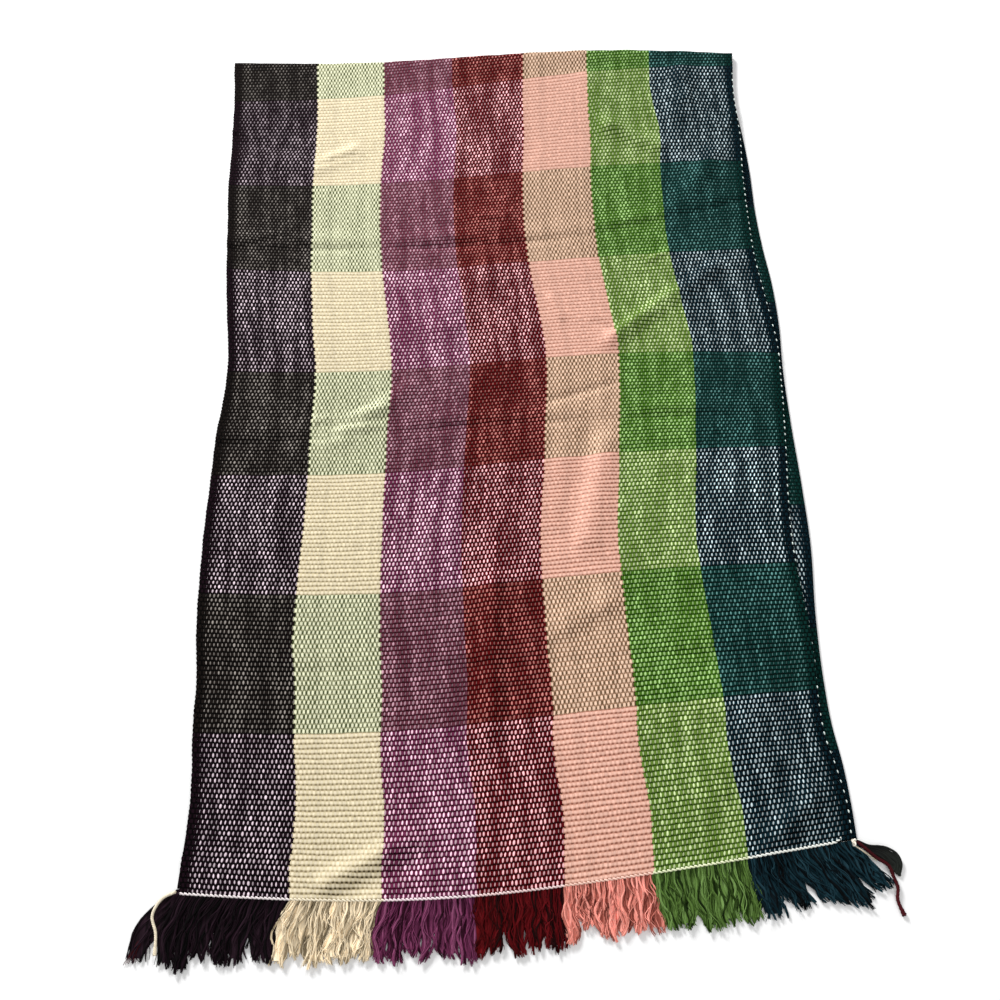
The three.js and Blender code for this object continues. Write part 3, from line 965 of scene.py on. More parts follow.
@dataclass(frozen=True)
class WeaveFinish:
    """Plain weave: striped warp floats with the weft showing between them as tall ovals.

    Sizes are shares of a warp end's or a pick's spacing. Slant is how far an oval leans, and shading how
    dark painted shade makes the warp where it dives. A gain is how bright a yarn gets, from chance, from
    light painted where the cloth faces the key light, or from how far it is from the fold.
    The bump's depth is in metres.
    """

    oval_width: float = 0.52
    oval_height: float = 0.43
    oval_least: float = 0.68
    oval_more: float = 0.42
    oval_patch: Ramp = (0.34, 0.6, 0.70, 1.05)
    oval_rim: Ramp = (0.78, 1.12, 1.0, 0.0)
    oval_shade: Ramp = (0.55, 1.15, 0.0, 0.6)
    oval_dome: Ramp = (0.0, 1.1, 0.85, 0.1)
    float_width: float = 0.52
    float_height: float = 0.54
    float_rim: Ramp = (0.80, 1.15, 0.0, 1.0)
    selvage: float = 4.6
    selvage_stray: float = 3.5
    end_stray: float = 0.42
    pick_stray: float = 0.30
    slant: float = 0.2
    shading: float = 0.75
    ply_across: float = 14.0
    ply_along: float = 22.0
    ply_height: float = 0.05
    hair_height: float = 0.25
    oval_gain: Ramp = (0.0, 1.0, 0.62, 1.18)
    patch_gain: Ramp = (0.36, 0.6, 0.6, 1.08)
    pick_gain: Ramp = (0.0, 1.0, 0.88, 1.04)
    weft_far_gain: Ramp = (0.0, 200.0, 1.07, 1.0)
    end_gain: Ramp = (0.0, 1.0, 0.92, 1.04)
    float_gain: Ramp = (0.0, 1.0, 0.92, 1.05)
    light_facing_gain: Ramp = (0.1, 0.9, 0.88, 1.09)
    light_facing_depth: Ramp = (0.15, 0.88, 1.45, 0.4)
    far_depth: Ramp = (0.0, 205.0, 1.32, 0.80)
    fade_picks: tuple[float, float] = (60.0, 205.0)
    roughness: float = 0.88
    specular: float = 0.05
    bump_strength: float = 0.55
    bump_depth: float = 0.0006

    def crossing(self, g: Graph) -> Crossing:
        """Works out where each place lies in the weave.

        Args:
            g: the material's nodes.

        Returns:
            The place and what lies there.
        """
        end, pick = g.uv("Weave")
        e = end + (g.noise(g.join(end * 0.45, pick * 0.8, 2.0)) - 0.5) * self.end_stray
        p = pick + (g.noise(g.join(end * 0.45, pick * 0.8, 9.0)) - 0.5) * self.pick_stray
        i, j = g.math(Sum.FLOOR, e), g.math(Sum.FLOOR, p)
        patch = g.noise(g.join(end / 6.5 + pick / 90.0, pick / 22.0 - end / 40.0, 4.0), detail=3.0)
        bands = [(k / LAST_PICK, float(n % 2)) for n, k in enumerate(BAND_PICKS[:-1])]
        olive = g.steps((j + 0.5) / LAST_PICK, bands)
        here = (i + 0.5) / ENDS
        pale = g.by_stripe(here, [float(stripe) for stripe in PALE_STRIPES])
        return Crossing(
            end, pick, e, p, i, j,
            fe=e - i - 0.5,
            fp=p - j - 0.5,
            weft_up=g.math(Sum.MODULO, i + j, 2.0),
            cell=g.speck(g.join(i, j, 3.0)),
            patch=patch,
            here=here,
            olive=olive,
            pale=pale,
            plain=pale * (1.0 - olive),
        )

    def oval(self, g: Graph, c: Crossing) -> tuple[Value, Value]:
        """Sizes the weft's ovals, which shrink towards the selvages.

        Args:
            g: the material's nodes.
            c: the place in the weave.

        Returns:
            The distance from the oval's middle, with 1 at its rim, and the oval's half width.
        """
        margin = g.noise(g.join(0.0, c.pick / 9.0)) * self.selvage_stray + self.selvage
        inner = g.ramp(c.end, 2.6, margin) * g.ramp(float(ENDS) - c.end, 2.8, 5.4)
        # The steps hold numbers up to 1, so the cover is made smaller on its way through them.
        cover = g.by_stripe(c.here, [0.8 * s.cover for s in STRIPES]) * 1.25
        size = inner * (c.cell * self.oval_more + self.oval_least)
        size = size * g.ramp(c.patch, *self.oval_patch) * cover
        half_width = size * self.oval_width + 0.001
        half_height = size * (self.oval_height * 0.35) + self.oval_height * 0.65
        across = (c.fe - c.fp * self.slant) / half_width
        upright = c.fp / half_height
        return g.math(Sum.SQRT, across * across + upright * upright), half_width

    def weft_tint(self, g: Graph, c: Crossing, fade: Value) -> Value:
        """Makes some picks, ovals and patches of the weft brighter than others.

        Args:
            g: the material's nodes.
            c: the place in the weave.
            fade: how much paler the cloth grows towards the fold.

        Returns:
            The weft's brightness.
        """
        dot = g.ramp(g.speck(g.join(c.i, c.j, 8.0)), *self.oval_gain)
        dot = dot * g.ramp(c.patch, *self.patch_gain)
        for spot in WEFT_SPOTS:
            away = ((c.end - spot.end) / spot.wide) ** 2.0 + ((c.pick - spot.pick) / spot.tall) ** 2.0
            dot = dot * (g.math(Sum.EXPONENT, away * -1.0) * spot.gain + 1.0)
        dot = dot * g.ramp(c.pick, *self.weft_far_gain)
        even = g.by_stripe(c.here, [s.even for s in STRIPES])
        dot = g.mix(even, dot, fade * 0.95)
        return g.ramp(g.speck(g.join(c.j, 0.0, 6.0)), *self.pick_gain) * dot

    def make(self) -> bpy.types.Material:
        """Builds the material from the warp end and weft pick in the layer Weave, and paints light and shade
        by its slope.

        Returns:
            The woven wool.
        """
        g = Graph("woven_wool")
        light_facing = g.uv("LightFacing")[0]
        c = self.crossing(g)
        r, half_width = self.oval(g, c)
        weft = c.weft_up * g.ramp(r, *self.oval_rim)

        # Each yarn's own colour. Beside an oval shows the next warp end, and not the one that dives there.
        own = c.i + c.weft_up * g.math(Sum.SIGN, c.fe)
        own_at = (own + 0.5) / ENDS
        warp_colour, weft_colour = (
            g.mix(c.olive, g.by_stripe(at, cream), g.by_stripe(at, olive))
            for at, cream, olive in (
                (own_at, [s.warp for s in STRIPES], [s.warp_olive for s in STRIPES]),
                (c.here, [s.weft for s in STRIPES], [s.weft_olive for s in STRIPES]),
            )
        )
        # The steps hold no number below 0, so the fade is raised by a half on its way through them.
        fade = g.by_stripe(c.here, [0.5 + s.fade for s in STRIPES]) - 0.5
        fade = g.ramp(c.pick, *self.fade_picks) * fade + 1.0
        warp_tint = g.ramp(g.speck(g.join(own, 0.0, 5.0)), *self.end_gain)
        warp_tint = warp_tint * g.ramp(c.cell, *self.float_gain) * fade
        # Painted light: yarns are painted brighter where the cloth faces the key light, darker where it faces
        # away.
        painted_light = g.ramp(light_facing, *self.light_facing_gain)
        warp = g.tinted(warp_colour, warp_tint * painted_light)
        yarn = g.tinted(weft_colour, self.weft_tint(g, c, fade) * painted_light)

        # Painted shade down between the yarns, more where the cloth tips away from the key light and at the
        # hem.
        tip = g.ramp(light_facing, *self.light_facing_depth) * g.ramp(c.pick, *self.far_depth)
        # A painted shadow lies below each raised dot, on the side away from the light.
        shadow_below_dot = (c.weft_up * -2.0 + 1.0) * g.math(Sum.SIGN, c.fp)
        deep = shadow_below_dot * (c.plain * 0.06 + 0.34) + (c.plain * 0.34 + 0.92)
        dive = g.ramp(g.math(Sum.ABSOLUTE, c.fp), c.plain * -0.12 + 0.26, 0.52) * deep
        flank = g.ramp(g.math(Sum.ABSOLUTE, c.fe), half_width * 0.8, 0.52, c.plain * 0.44 + 0.30, 0.94)
        body = (1.0 - c.weft_up) + c.weft_up * flank
        warp_shade = (1.0 - body * (1.0 - dive * self.shading)) * tip
        weft_shade = g.mix(c.plain, g.ramp(r, *self.oval_shade), dive * 0.85) * tip
        float_r = g.math(Sum.SQRT, (c.fe / self.float_width) ** 2.0 + (c.fp / self.float_height) ** 2.0)
        # Between warp floats the weft shows, darkened by painted shade in the corners of olive bands on pale
        # stripes.
        corner = g.ramp(float_r, *self.float_rim) * (c.olive * c.pale) * (1.0 - c.weft_up)
        pit = g.painted_shade(yarn, tip * 0.9)
        warp = g.mix(corner * g.math(Sum.MINIMUM, tip, 1.0), g.painted_shade(warp, warp_shade), pit)

        ply = g.math(Sum.SINE, c.e * self.ply_across + c.p * self.ply_along)
        hair = g.noise(g.join(c.end * 5.0, c.pick * 3.0, 1.0), detail=3.0)
        dome = (1.0 - dive) * body * (1.0 - weft) + g.ramp(r, *self.oval_dome) * weft
        g.bump(dome + ply * self.ply_height + hair * self.hair_height, self.bump_strength, self.bump_depth)
        return g.finish(g.mix(weft, warp, g.painted_shade(yarn, weft_shade)), self.roughness, self.specular)


@dataclass(frozen=True)
class YarnFinish:
    """Loose or plied wool yarn, from its colour at the root to that at the tip.

    Spread is how much lighter or darker single strands are, and group how many of them share a tone.
    A strand gets painted shade or a painted sheen between the two tones given, and a streak is a patch along
    it.
    """

    name: str
    colour: str
    tip: str
    spread: float = 0.35
    group: int = 1
    stripes: tuple[str, ...] = ()
    depth: float = 0.0
    painted_sheen: float = 0.0
    roughness: float = 0.85
    specular: float = 0.12
    bump_strength: float = 0.3
    bump_depth: float = 0.0003
    streak_gain: Ramp = (0.3, 0.7, 0.82, 1.14)
    shade_tones: tuple[float, float] = (0.15, 0.85)
    sheen_tones: tuple[float, float] = (0.75, 1.4)

    def make(self) -> bpy.types.Material:
        """Builds the material from the strand and the share of its length in the layer Yarn.

        Strands lie in groups that share a tone. With stripes, the colour changes along the strand instead.
        The darkest strands get painted shade by the depth, and the lightest a painted sheen in their own hue.

        Returns:
            The yarn's wool.
        """
        g = Graph(self.name)
        strand, share = g.uv("Yarn")
        number = g.math(Sum.FLOOR, strand + 0.5)
        yarn = g.math(Sum.FLOOR, number / float(self.group))
        tone = g.speck(g.join(yarn, 1.0)) + g.speck(g.join(number, 2.0)) * 0.6
        streak = g.noise(g.join(yarn * 3.7, share * 5.0))
        value = g.ramp(tone, 0.0, 1.6, 1.0 - self.spread, 1.0 + self.spread * 0.6)
        value = value * g.ramp(streak, *self.streak_gain)
        own = linear(self.colour)
        if self.stripes:
            base = g.steps(share, list(zip(STRIPE_SHARES, self.stripes)))
        else:
            base = g.mix(g.ramp(share, 0.1, 1.0), own, linear(self.tip))
        # Painted shade on the darkest strands, and a painted sheen of their own paler hue on the lightest.
        colour = g.painted_shade(g.tinted(base, value), g.ramp(tone, *self.shade_tones, self.depth, 0.0))
        pale = g.ramp(tone, *self.sheen_tones) * self.painted_sheen
        light = tuple(0.35 + 0.65 * part / max(own[:3]) for part in own[:3]) + (1.0,)
        g.bump(g.noise(g.join(strand * 9.0, share * 160.0)), self.bump_strength, self.bump_depth)
        return g.finish(g.mix(pale, colour, light), self.roughness, self.specular)


# ------------------------------------------------------------------ the woven web


@dataclass
class WovenWeb:
    """The web: seven striped panels over the fold, and the under half beneath them.

    The rises, the dip and the pit are the yarns' heights on, beside and between their floats. Fine ends
    are those of the under half that are woven out, and blocks are the rows of the layout for baking.
    """

    finish: bpy.types.Material
    warp_rise: float = 0.32
    weft_rise: float = 0.34
    side_rise: float = 0.20
    dip: float = 0.06
    pit: float = -0.02
    fine_ends: int = 14
    blocks: int = 3
    rim_steps: tuple[tuple[float, float], ...] = ((0.45, 0.5), (0.6, 1.2), (0.35, 1.9))
    hem_drop: float = 1.8
    under_edge: float = 1.5
    under_slack: float = 0.35
    under_columns: tuple[int, int] = (22, 16)
    end_gap: float = 2.1
    pieces: list[bpy.types.Object] = field(default_factory=list)

    def relief(self, end: Array, pick: Array) -> Array:
        """Gives how far the yarns stand out, at half steps of ends and picks.

        Args:
            end: warp end of each point.
            pick: weft pick of each point.

        Returns:
            The height over the cloth's mean face, in mm.
        """
        on_end, on_pick = np.abs(end % 1 - 0.5) < 0.01, np.abs(pick % 1 - 0.5) < 0.01
        warp_up = (np.floor(end) + np.floor(pick)) % 2 == 0
        crown = np.where(warp_up, self.warp_rise, self.weft_rise)
        crown = crown * (0.78 + 0.44 * scatter(np.floor(end), np.floor(pick)))
        between = np.where(on_pick, self.side_rise, np.where(on_end, self.dip, self.pit))
        return np.where(on_end & on_pick, crown, between)

    def bake_layer(self, end: Array, pick: Array, first: float, last: float) -> Array:
        """Lays a stripe out in side-by-side blocks, so that its weave gets more room.

        Args:
            end: warp end of each corner, four to a face.
            pick: weft pick of each corner.
            first: the stripe's first warp end.
            last: its last warp end.

        Returns:
            The layout's UV for each corner.
        """
        end_gap, pick_gap = 2.12, 4.6
        length = SPLIT_PICK / self.blocks
        middle = pick.reshape(-1, 4).mean(axis=1).repeat(4)
        block = np.clip(np.floor(middle / length), 0, self.blocks - 1)
        tall = length * pick_gap + 8
        u = (block * (last - first + 3) + end - first + 1.5) * end_gap / tall
        v = (pick - block * length) * pick_gap / tall + 0.01
        return np.stack([u, np.clip(v, 0, 1)], axis=1)

    def stripe(self, number: int) -> bpy.types.Object:
        """Builds one warp stripe of the upper half, from the hem over the fold.

        Args:
            number: the stripe's place from the left, from 0.

        Returns:
            The striped panel.
        """
        stripe = STRIPES[number]
        first = sum(s.ends for s in STRIPES[:number])
        last = first + stripe.ends
        ends = np.arange(first * 2, last * 2 + 1) / 2
        picks = np.arange(0, SPLIT_PICK * 2 + 1) / 2
        pick, end = np.meshgrid(picks, ends, indexing="ij")
        points = FORM.outside(end, pick, self.relief(end, pick))
        points[..., 0] += 0.18 * np.sin(end * 1.9 + pick * 0.31) + 0.14 * np.sin(pick * 0.83)
        points[..., 1] += 0.22 * np.sin(end * 0.23 + pick * 1.1)
        bulge = np.where(np.abs(pick % 1 - 0.5) < 0.01, 0.5, 0.0) * (0.6 + 0.8 * scatter(np.floor(pick), 4.0))
        points[..., 0] += bulge * (np.exp(end - ENDS) - np.exp(-end))
        points, end, pick = self.rim(number, points, end, pick)
        faces = grid_faces(*end.shape)
        corners = faces.ravel()
        end_at, pick_at = end.ravel()[corners], pick.ravel()[corners]
        layers = {
            "Weave": np.stack([end_at, pick_at], axis=1),
            "LightFacing": np.stack([FORM.light_facing(points).ravel()] * 2, axis=1)[corners],
            "OFBake": self.bake_layer(end_at, pick_at, first, last),
        }
        piece = make_object(f"stripe_{stripe.name}", points.reshape(-1, 3), faces, layers, self.finish)
        return piece

    @staticmethod
    def turned(edge: Array, out: float, down: float) -> Array:
        """Moves an edge of the cloth sideways and down, no lower than the table.

        Args:
            edge: the edge's points.
            out: how far it moves to the right.
            down: how far it moves down.

        Returns:
            The moved points.
        """
        moved = edge + np.array([out, 0.0, 0.0])
        moved[..., 2] = np.maximum(moved[..., 2] - down, 0.05)
        return moved

    def rim(self, number: int, points: Array, end: Array, pick: Array) -> tuple[Array, Array, Array]:
        """Turns the cloth's own edges down by its thickness, at the selvages and the hem.

        Args:
            number: the stripe's place from the left, from 0.
            points: the stripe's grid of points.
            end: warp end of each point.
            pick: weft pick of each point.

        Returns:
            The points, ends and picks with their new rows and columns.
        """
        left, right = points[:, :1], points[:, -1:]
        for out, down in self.rim_steps:
            if number == 0:
                points = np.concatenate([self.turned(left, -out, down), points], axis=1)
                end = np.concatenate([np.full_like(end[:, :1], 0.2), end], axis=1)
                pick = np.concatenate([pick[:, :1], pick], axis=1)
            if number == len(STRIPES) - 1:
                points = np.concatenate([points, self.turned(right, out, down)], axis=1)
                end = np.concatenate([end, np.full_like(end[:, :1], ENDS - 0.2)], axis=1)
                pick = np.concatenate([pick, pick[:, :1]], axis=1)
        hem = points[:1] + np.array([0.0, -0.3, 0.0])
        hem[..., 2] -= self.hem_drop
        rows = ((hem, points), (end[:1], end), (pick[:1], pick))
        return tuple(np.concatenate(pair, axis=0) for pair in rows)

    def under_half(self) -> bpy.types.Object:
        """Builds the under half as one thin closed cloth, finely woven along its open selvage.

        Returns:
            The under half.
        """
        fine = np.arange((ENDS - self.fine_ends) * 2, ENDS * 2 + 1) / 2
        on_top, below = self.under_columns
        coarse = np.linspace(0, ENDS - self.fine_ends, on_top)[:-1]
        top = np.concatenate([coarse, fine])[::-1]
        bottom = np.linspace(0, ENDS, below)
        picks = np.arange(SPLIT_PICK * 2, LAST_PICK * 2 + 1) / 2
        columns = np.concatenate([bottom, top])
        pick, end = np.meshgrid(picks, columns, indexing="ij")
        x, y = FORM.under(end, pick)
        is_top = np.arange(len(columns)) >= len(bottom)
        edge = np.minimum(end, ENDS - end) * self.end_gap
        full = FORM.wall - self.under_slack
        thick = self.under_edge + (full - self.under_edge) * np.clip(edge / 8, 0, 1)
        lift = np.where(end > ENDS - self.fine_ends, self.relief(end, pick) * 0.8, 0.0)
        z = np.where(is_top, thick + lift, 0.1)
        x = x + np.where(is_top & (edge < 0.1), -0.3 * np.sign(end - 1), 0.0)
        points = np.stack([x, y, z], axis=-1)
        rows, count = end.shape
        r, c = np.meshgrid(np.arange(rows - 1), np.arange(count), indexing="ij")
        nxt = (c + 1) % count
        quads = [r * count + c, r * count + nxt, (r + 1) * count + nxt, (r + 1) * count + c]
        caps = [list(range(count))[::-1], [(rows - 1) * count + k for k in range(count)]]
        faces = np.stack(quads, axis=-1).reshape(-1, 4).tolist() + caps
        weave = np.stack([end.ravel(), pick.ravel()], axis=1)
        layers = {"Weave": weave, "LightFacing": np.full_like(weave, 0.45)}
        piece = make_object("under_half", points.reshape(-1, 3), faces, layers, self.finish)
        return piece

    def build(self) -> list[bpy.types.Object]:
        """Builds the whole web and lets it stand for its solid.

        Returns:
            The under half and the seven striped panels.
        """
        self.pieces = [self.under_half()] + [self.stripe(k) for k in range(len(STRIPES))]
        return [fit(piece, "web") for piece in self.pieces]


# ------------------------------------------------------------------ hems, selvage and yarns


@dataclass
class Hem:
    """A cord of two cream strands twined across the end of the web."""

    half: Half
    finish: bpy.types.Material
    strand: float = 1.0
    winding: float = 0.62
    turn: float = 8.0
    hook: float = 3.0
    hook_share: float = 0.014
    run_on: float = 620.0
    steps_a_turn: int = 14

    def build(self) -> bpy.types.Object:
        """Builds the two strands along the hem; the upper one stops short of the knot with a small hook.

        Returns:
            The cord.
        """
        turns = WIDTH / MM / self.turn
        first, last = (0.0, 0.985) if self.half is Half.UPPER else (0.008, 1.002)
        w = np.linspace(first, last, int(turns * self.steps_a_turn))
        line = FORM.hem(self.half, np.clip(w, 0, 1))
        line[:, 0] += (w - np.clip(w, 0, 1)) * self.run_on
        if self.half is Half.UPPER:
            line[:, 1] += self.hook * np.clip((w - last + self.hook_share) / self.hook_share, 0, 1) ** 2
        phase = w * turns * 2 * math.pi + 0.5 * np.sin(w * 40)
        strands = []
        for k in (0.0, math.pi):
            strand = line.copy()
            strand[:, 1] += self.winding * np.cos(phase + k)
            strand[:, 2] += self.winding * 1.1 * np.sin(phase + k)
            strand[:, 2] = np.maximum(strand[:, 2], self.strand + 0.05)
            strands.append(strand)
        paths = np.stack(strands)
        points, faces, uv = tubes(paths, np.full(paths.shape[:2], self.strand), 6)
        uv[:, 1] = first + uv[:, 1] * (last - first)
        piece = make_object(f"twined_hem_{self.half.value}", points, faces, {"Yarn": uv}, self.finish)
        return fit(piece, f"hem_cord_{self.half.value}")


@dataclass
class SelvageLoops:
    """The weft's turns round the last warp end, a dotted line down the right selvage."""

    finish: bpy.types.Material
    yarn: float = 0.85
    reach: float = 0.35
    last_pick: int = 206
    small: float = 0.55

    def build(self) -> bpy.types.Object:
        """Builds a small loop for each pair of picks, a smaller one in the first olive band.

        Returns:
            The loops.
        """
        starts = np.arange(1, self.last_pick, 2, dtype=float)
        start, along = np.meshgrid(starts, np.linspace(0, 1, 5), indexing="ij")
        pick = start + 0.1 + along * 0.9
        end = np.full_like(pick, ENDS - 0.3)
        paths = FORM.outside(end, pick, np.full_like(pick, 0.1))
        swell = np.sin(along * math.pi)
        in_olive = (start > BAND_PICKS[1]) & (start < BAND_PICKS[2] + 1)
        size = (0.75 + 0.4 * scatter(start, 1.0)) * np.where(in_olive, self.small, 1.0)
        paths[..., 0] += self.reach * swell * size + 0.7 - 0.5 * along
        paths[..., 2] += 0.7 * swell - 0.9
        radii = self.yarn * size * (0.35 + 0.65 * swell)
        return fit(yarn_object("selvage_loops", paths, radii, 5, self.finish))


class Lock(NamedTuple):
    """A lock of the fringe: its number of warp ends, the x of its tip's two sides, and its tip's y, in mm."""

    ends: int
    left: float
    right: float
    tip: float


# Locks of the upper fringe by stripe. The under fringe has the same, but for its two outermost.
LOCKS: tuple[tuple[Lock, ...], ...] = (
    (Lock(6, -296, -279, -580), Lock(8, -279, -267, -583), Lock(8, -268, -248, -573),
     Lock(7, -245, -232, -579), Lock(6, -232, -217, -577), Lock(6, -213, -200, -574),
     Lock(6, -202, -191, -577)),
    (Lock(5, -194, -179, -579), Lock(6, -180, -164, -573), Lock(7, -163, -147, -579),
     Lock(6, -147, -135, -576), Lock(7, -133, -120, -576), Lock(10, -120, -104, -573)),
    (Lock(7, -104, -90, -576), Lock(6, -90, -76, -577), Lock(7, -74, -59, -570), Lock(4, -59, -52, -576),
     Lock(9, -45, -26, -573), Lock(8, -26, -8, -577)),
    (Lock(5, -9, -2, -573), Lock(8, -2, 13, -568), Lock(9, 22, 33, -570), Lock(9, 34, 51, -566),
     Lock(10, 51, 71, -566)),
    (Lock(5, 69, 81, -562), Lock(8, 83, 99, -547), Lock(9, 99, 118, -557), Lock(5, 117, 127, -555),
     Lock(7, 131, 146, -551), Lock(4, 146, 161, -551)),
    (Lock(7, 158, 175, -549), Lock(8, 175, 189, -548), Lock(10, 193, 212, -549), Lock(7, 213, 229, -544),
     Lock(8, 229, 250, -543)),
    (Lock(6, 249, 271, -540), Lock(9, 274, 297, -531), Lock(7, 303, 321, -526), Lock(8, 321, 339, -529),
     Lock(7, 337, 352, -530), Lock(9, 346, 369, -514)),
)
UNDER_LEFT_LOCK = Lock(6, -322, -304, -577)
UNDER_RIGHT_LOCK = Lock(9, 354, 372, -512)


@dataclass
class Fringe:
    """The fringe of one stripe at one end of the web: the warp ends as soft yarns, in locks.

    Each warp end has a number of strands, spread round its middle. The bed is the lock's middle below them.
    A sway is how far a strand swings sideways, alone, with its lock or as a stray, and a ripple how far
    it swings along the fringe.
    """

    half: Half
    number: int
    finish: bpy.types.Material
    strands: int = 4
    steps: int = 15
    radius: float = 0.6
    spread: float = 0.55
    root_margin: float = 0.002
    part_from: float = 0.42
    taper_from: float = 0.93
    bed_steps: int = 12
    bed_sides: int = 8
    end_spread: float = 2.4
    tip_bow: float = 5.0
    tip_by_yarn: float = 4.5
    tip_by_strand: float = 3.0
    tip_past: float = 2.5
    free_rate: float = 3.5
    stray_above: float = 0.7
    stray_lift: float = 1.2
    yarn_sway: float = 1.7
    lock_sway: float = 1.5
    stray_sway: float = 3.0
    ripple: float = 0.8
    ripple_turns: float = 2.1
    ply_turns: float = 1.6
    root_fall: float = 6.5
    taper_rate: float = 5.5

    def locks(self) -> list[Lock]:
        """Gives this stripe's locks at this end of the web.

        Returns:
            The locks, from left to right.
        """
        rows = list(LOCKS[self.number])
        if self.half is Half.UNDER:
            rows = [row._replace(tip=row.tip + 3.5) for row in rows]
            if self.number == 0:
                rows[0] = UNDER_LEFT_LOCK
            if self.number == len(STRIPES) - 1:
                rows[-1] = UNDER_RIGHT_LOCK
        return rows

    def roots(self, end: Array) -> Array:
        """Gives the points of the hem where warp ends leave it."""
        return FORM.hem(self.half, np.clip(FORM.share(end), self.root_margin, 1 - self.root_margin))

    def parting(self, rows: list[Lock], f: Array) -> list[Array]:
        """Parts the locks on their way down.

        Args:
            rows: the stripe's locks.
            f: shares of the fringe's length.

        Returns:
            The x that each lock's two sides aim at, from touching its neighbours to its own tip.
        """
        left, right = np.array([(row.left, row.right) for row in rows], float).T
        between = (right[:-1] + left[1:]) / 2
        part = np.clip((f - self.part_from) / (1 - self.part_from), 0, 1)
        part = part * part * (3 - 2 * part)
        wide = (np.concatenate([left[:1], between]), np.concatenate([between, right[-1:]]))
        return [w[:, None] + (own - w)[:, None] * part for w, own in zip(wide, (left, right))]

    @staticmethod
    def sweep(root: Array, tip: Array, f: Array) -> Array:
        """Bends yarns from their roots towards their tips.

        Args:
            root: x of each root.
            tip: x that each point aims at.
            f: shares of the fringe's length.

        Returns:
            x of each point.
        """
        lean = tip - root
        return root + lean * np.where(lean < 0, 1 - (1 - f) ** 2.6, f**1.25)

    def yarns(self, rows: list[Lock], first: int) -> tuple[Array, Array]:
        """Lays out the strands of each warp end.

        Args:
            rows: the stripe's locks.
            first: the stripe's first warp end.

        Returns:
            The strands' paths and radii.
        """
        upper, repeat = self.half is Half.UPPER, self.strands
        ends = sum(row.ends for row in rows)
        lock = np.repeat(np.arange(len(rows)), [row.ends * repeat for row in rows])
        within = np.concatenate([(np.arange(row.ends) + 0.5) / row.ends for row in rows]).repeat(repeat)
        yarn = np.arange(ends, dtype=float).repeat(repeat)
        which = np.tile(np.arange(repeat, dtype=float), ends)
        salt = 11.0 + self.number + (0.0 if upper else 40.0)
        by_yarn = [scatter(yarn, 1.0, salt + k)[:, None] for k in range(8)]
        own = [scatter(yarn, which + 2.0, salt + 10 + k)[:, None] for k in range(4)]
        by_lock = [scatter(lock, 3.0, salt + 20 + k)[:, None] for k in range(3)]
        root = self.roots(first + yarn + 0.5)
        tip = np.array([row.tip for row in rows], float)[lock][:, None]
        middle = np.abs(2 * within - 1)[:, None]
        f = np.linspace(0, 1, self.steps)[None, :]
        left, right = (side[lock] for side in self.parting(rows, f))
        end_x = left + (right - left) * within[:, None] + self.end_spread * (by_yarn[0] - 0.5)
        end_y = tip + self.tip_bow * middle**2 + self.tip_by_yarn * by_yarn[1] ** 2
        end_y = end_y + self.tip_by_strand * own[0] - self.tip_past
        x = self.sweep(root[:, :1], end_x, f)
        y = root[:, 1:2] - 1.0 + (end_y - root[:, 1:2] + 1.0) * f
        free = np.minimum(f * self.free_rate, 1)
        stray = np.where((which == 0)[:, None] & (by_yarn[7] > self.stray_above), 1.0, 0.0)
        sway = self.yarn_sway * np.sin(2 * math.pi * (f * (1.3 + 0.9 * by_yarn[2]) + by_yarn[3]))
        sway = sway + self.lock_sway * np.sin(2 * math.pi * (f * (0.8 + 0.5 * by_lock[0]) + by_lock[1]))
        sway = sway + stray * self.stray_sway * np.sin(2 * math.pi * (f * (1.2 + own[1]) + own[2]))
        ply = 2 * math.pi * (which[:, None] / repeat + f * self.ply_turns + by_yarn[4])
        loose = self.spread * (1.0 + 0.5 * f) * (0.8 + 0.35 * own[3])
        x = x + free * sway + loose * np.cos(ply)
        y = y + free * self.ripple * np.cos(2 * math.pi * (f * self.ripple_turns + by_yarn[5]))
        low, rise, droop = (2.7, 2.0, 1.6) if upper else (1.0, 0.9, 0.0)
        bed = low + rise * (by_yarn[6] * 0.8 + 0.5 * (1 - middle**2)) * free
        bed = bed + stray * self.stray_lift * free
        z = bed + (root[:, 2:3] - low) * np.exp(-f * self.root_fall)
        z = z + 0.6 * loose * np.sin(ply) - droop * f**3
        taper = np.where(f < self.taper_from, 1.0, 1.0 - self.taper_rate * (f - self.taper_from))
        radii = self.radius * (0.85 + 0.35 * own[1]) * taper * (1.0 - 0.35 * stray)
        return np.stack([x, y, np.maximum(z, self.radius + 0.1)], axis=-1), radii

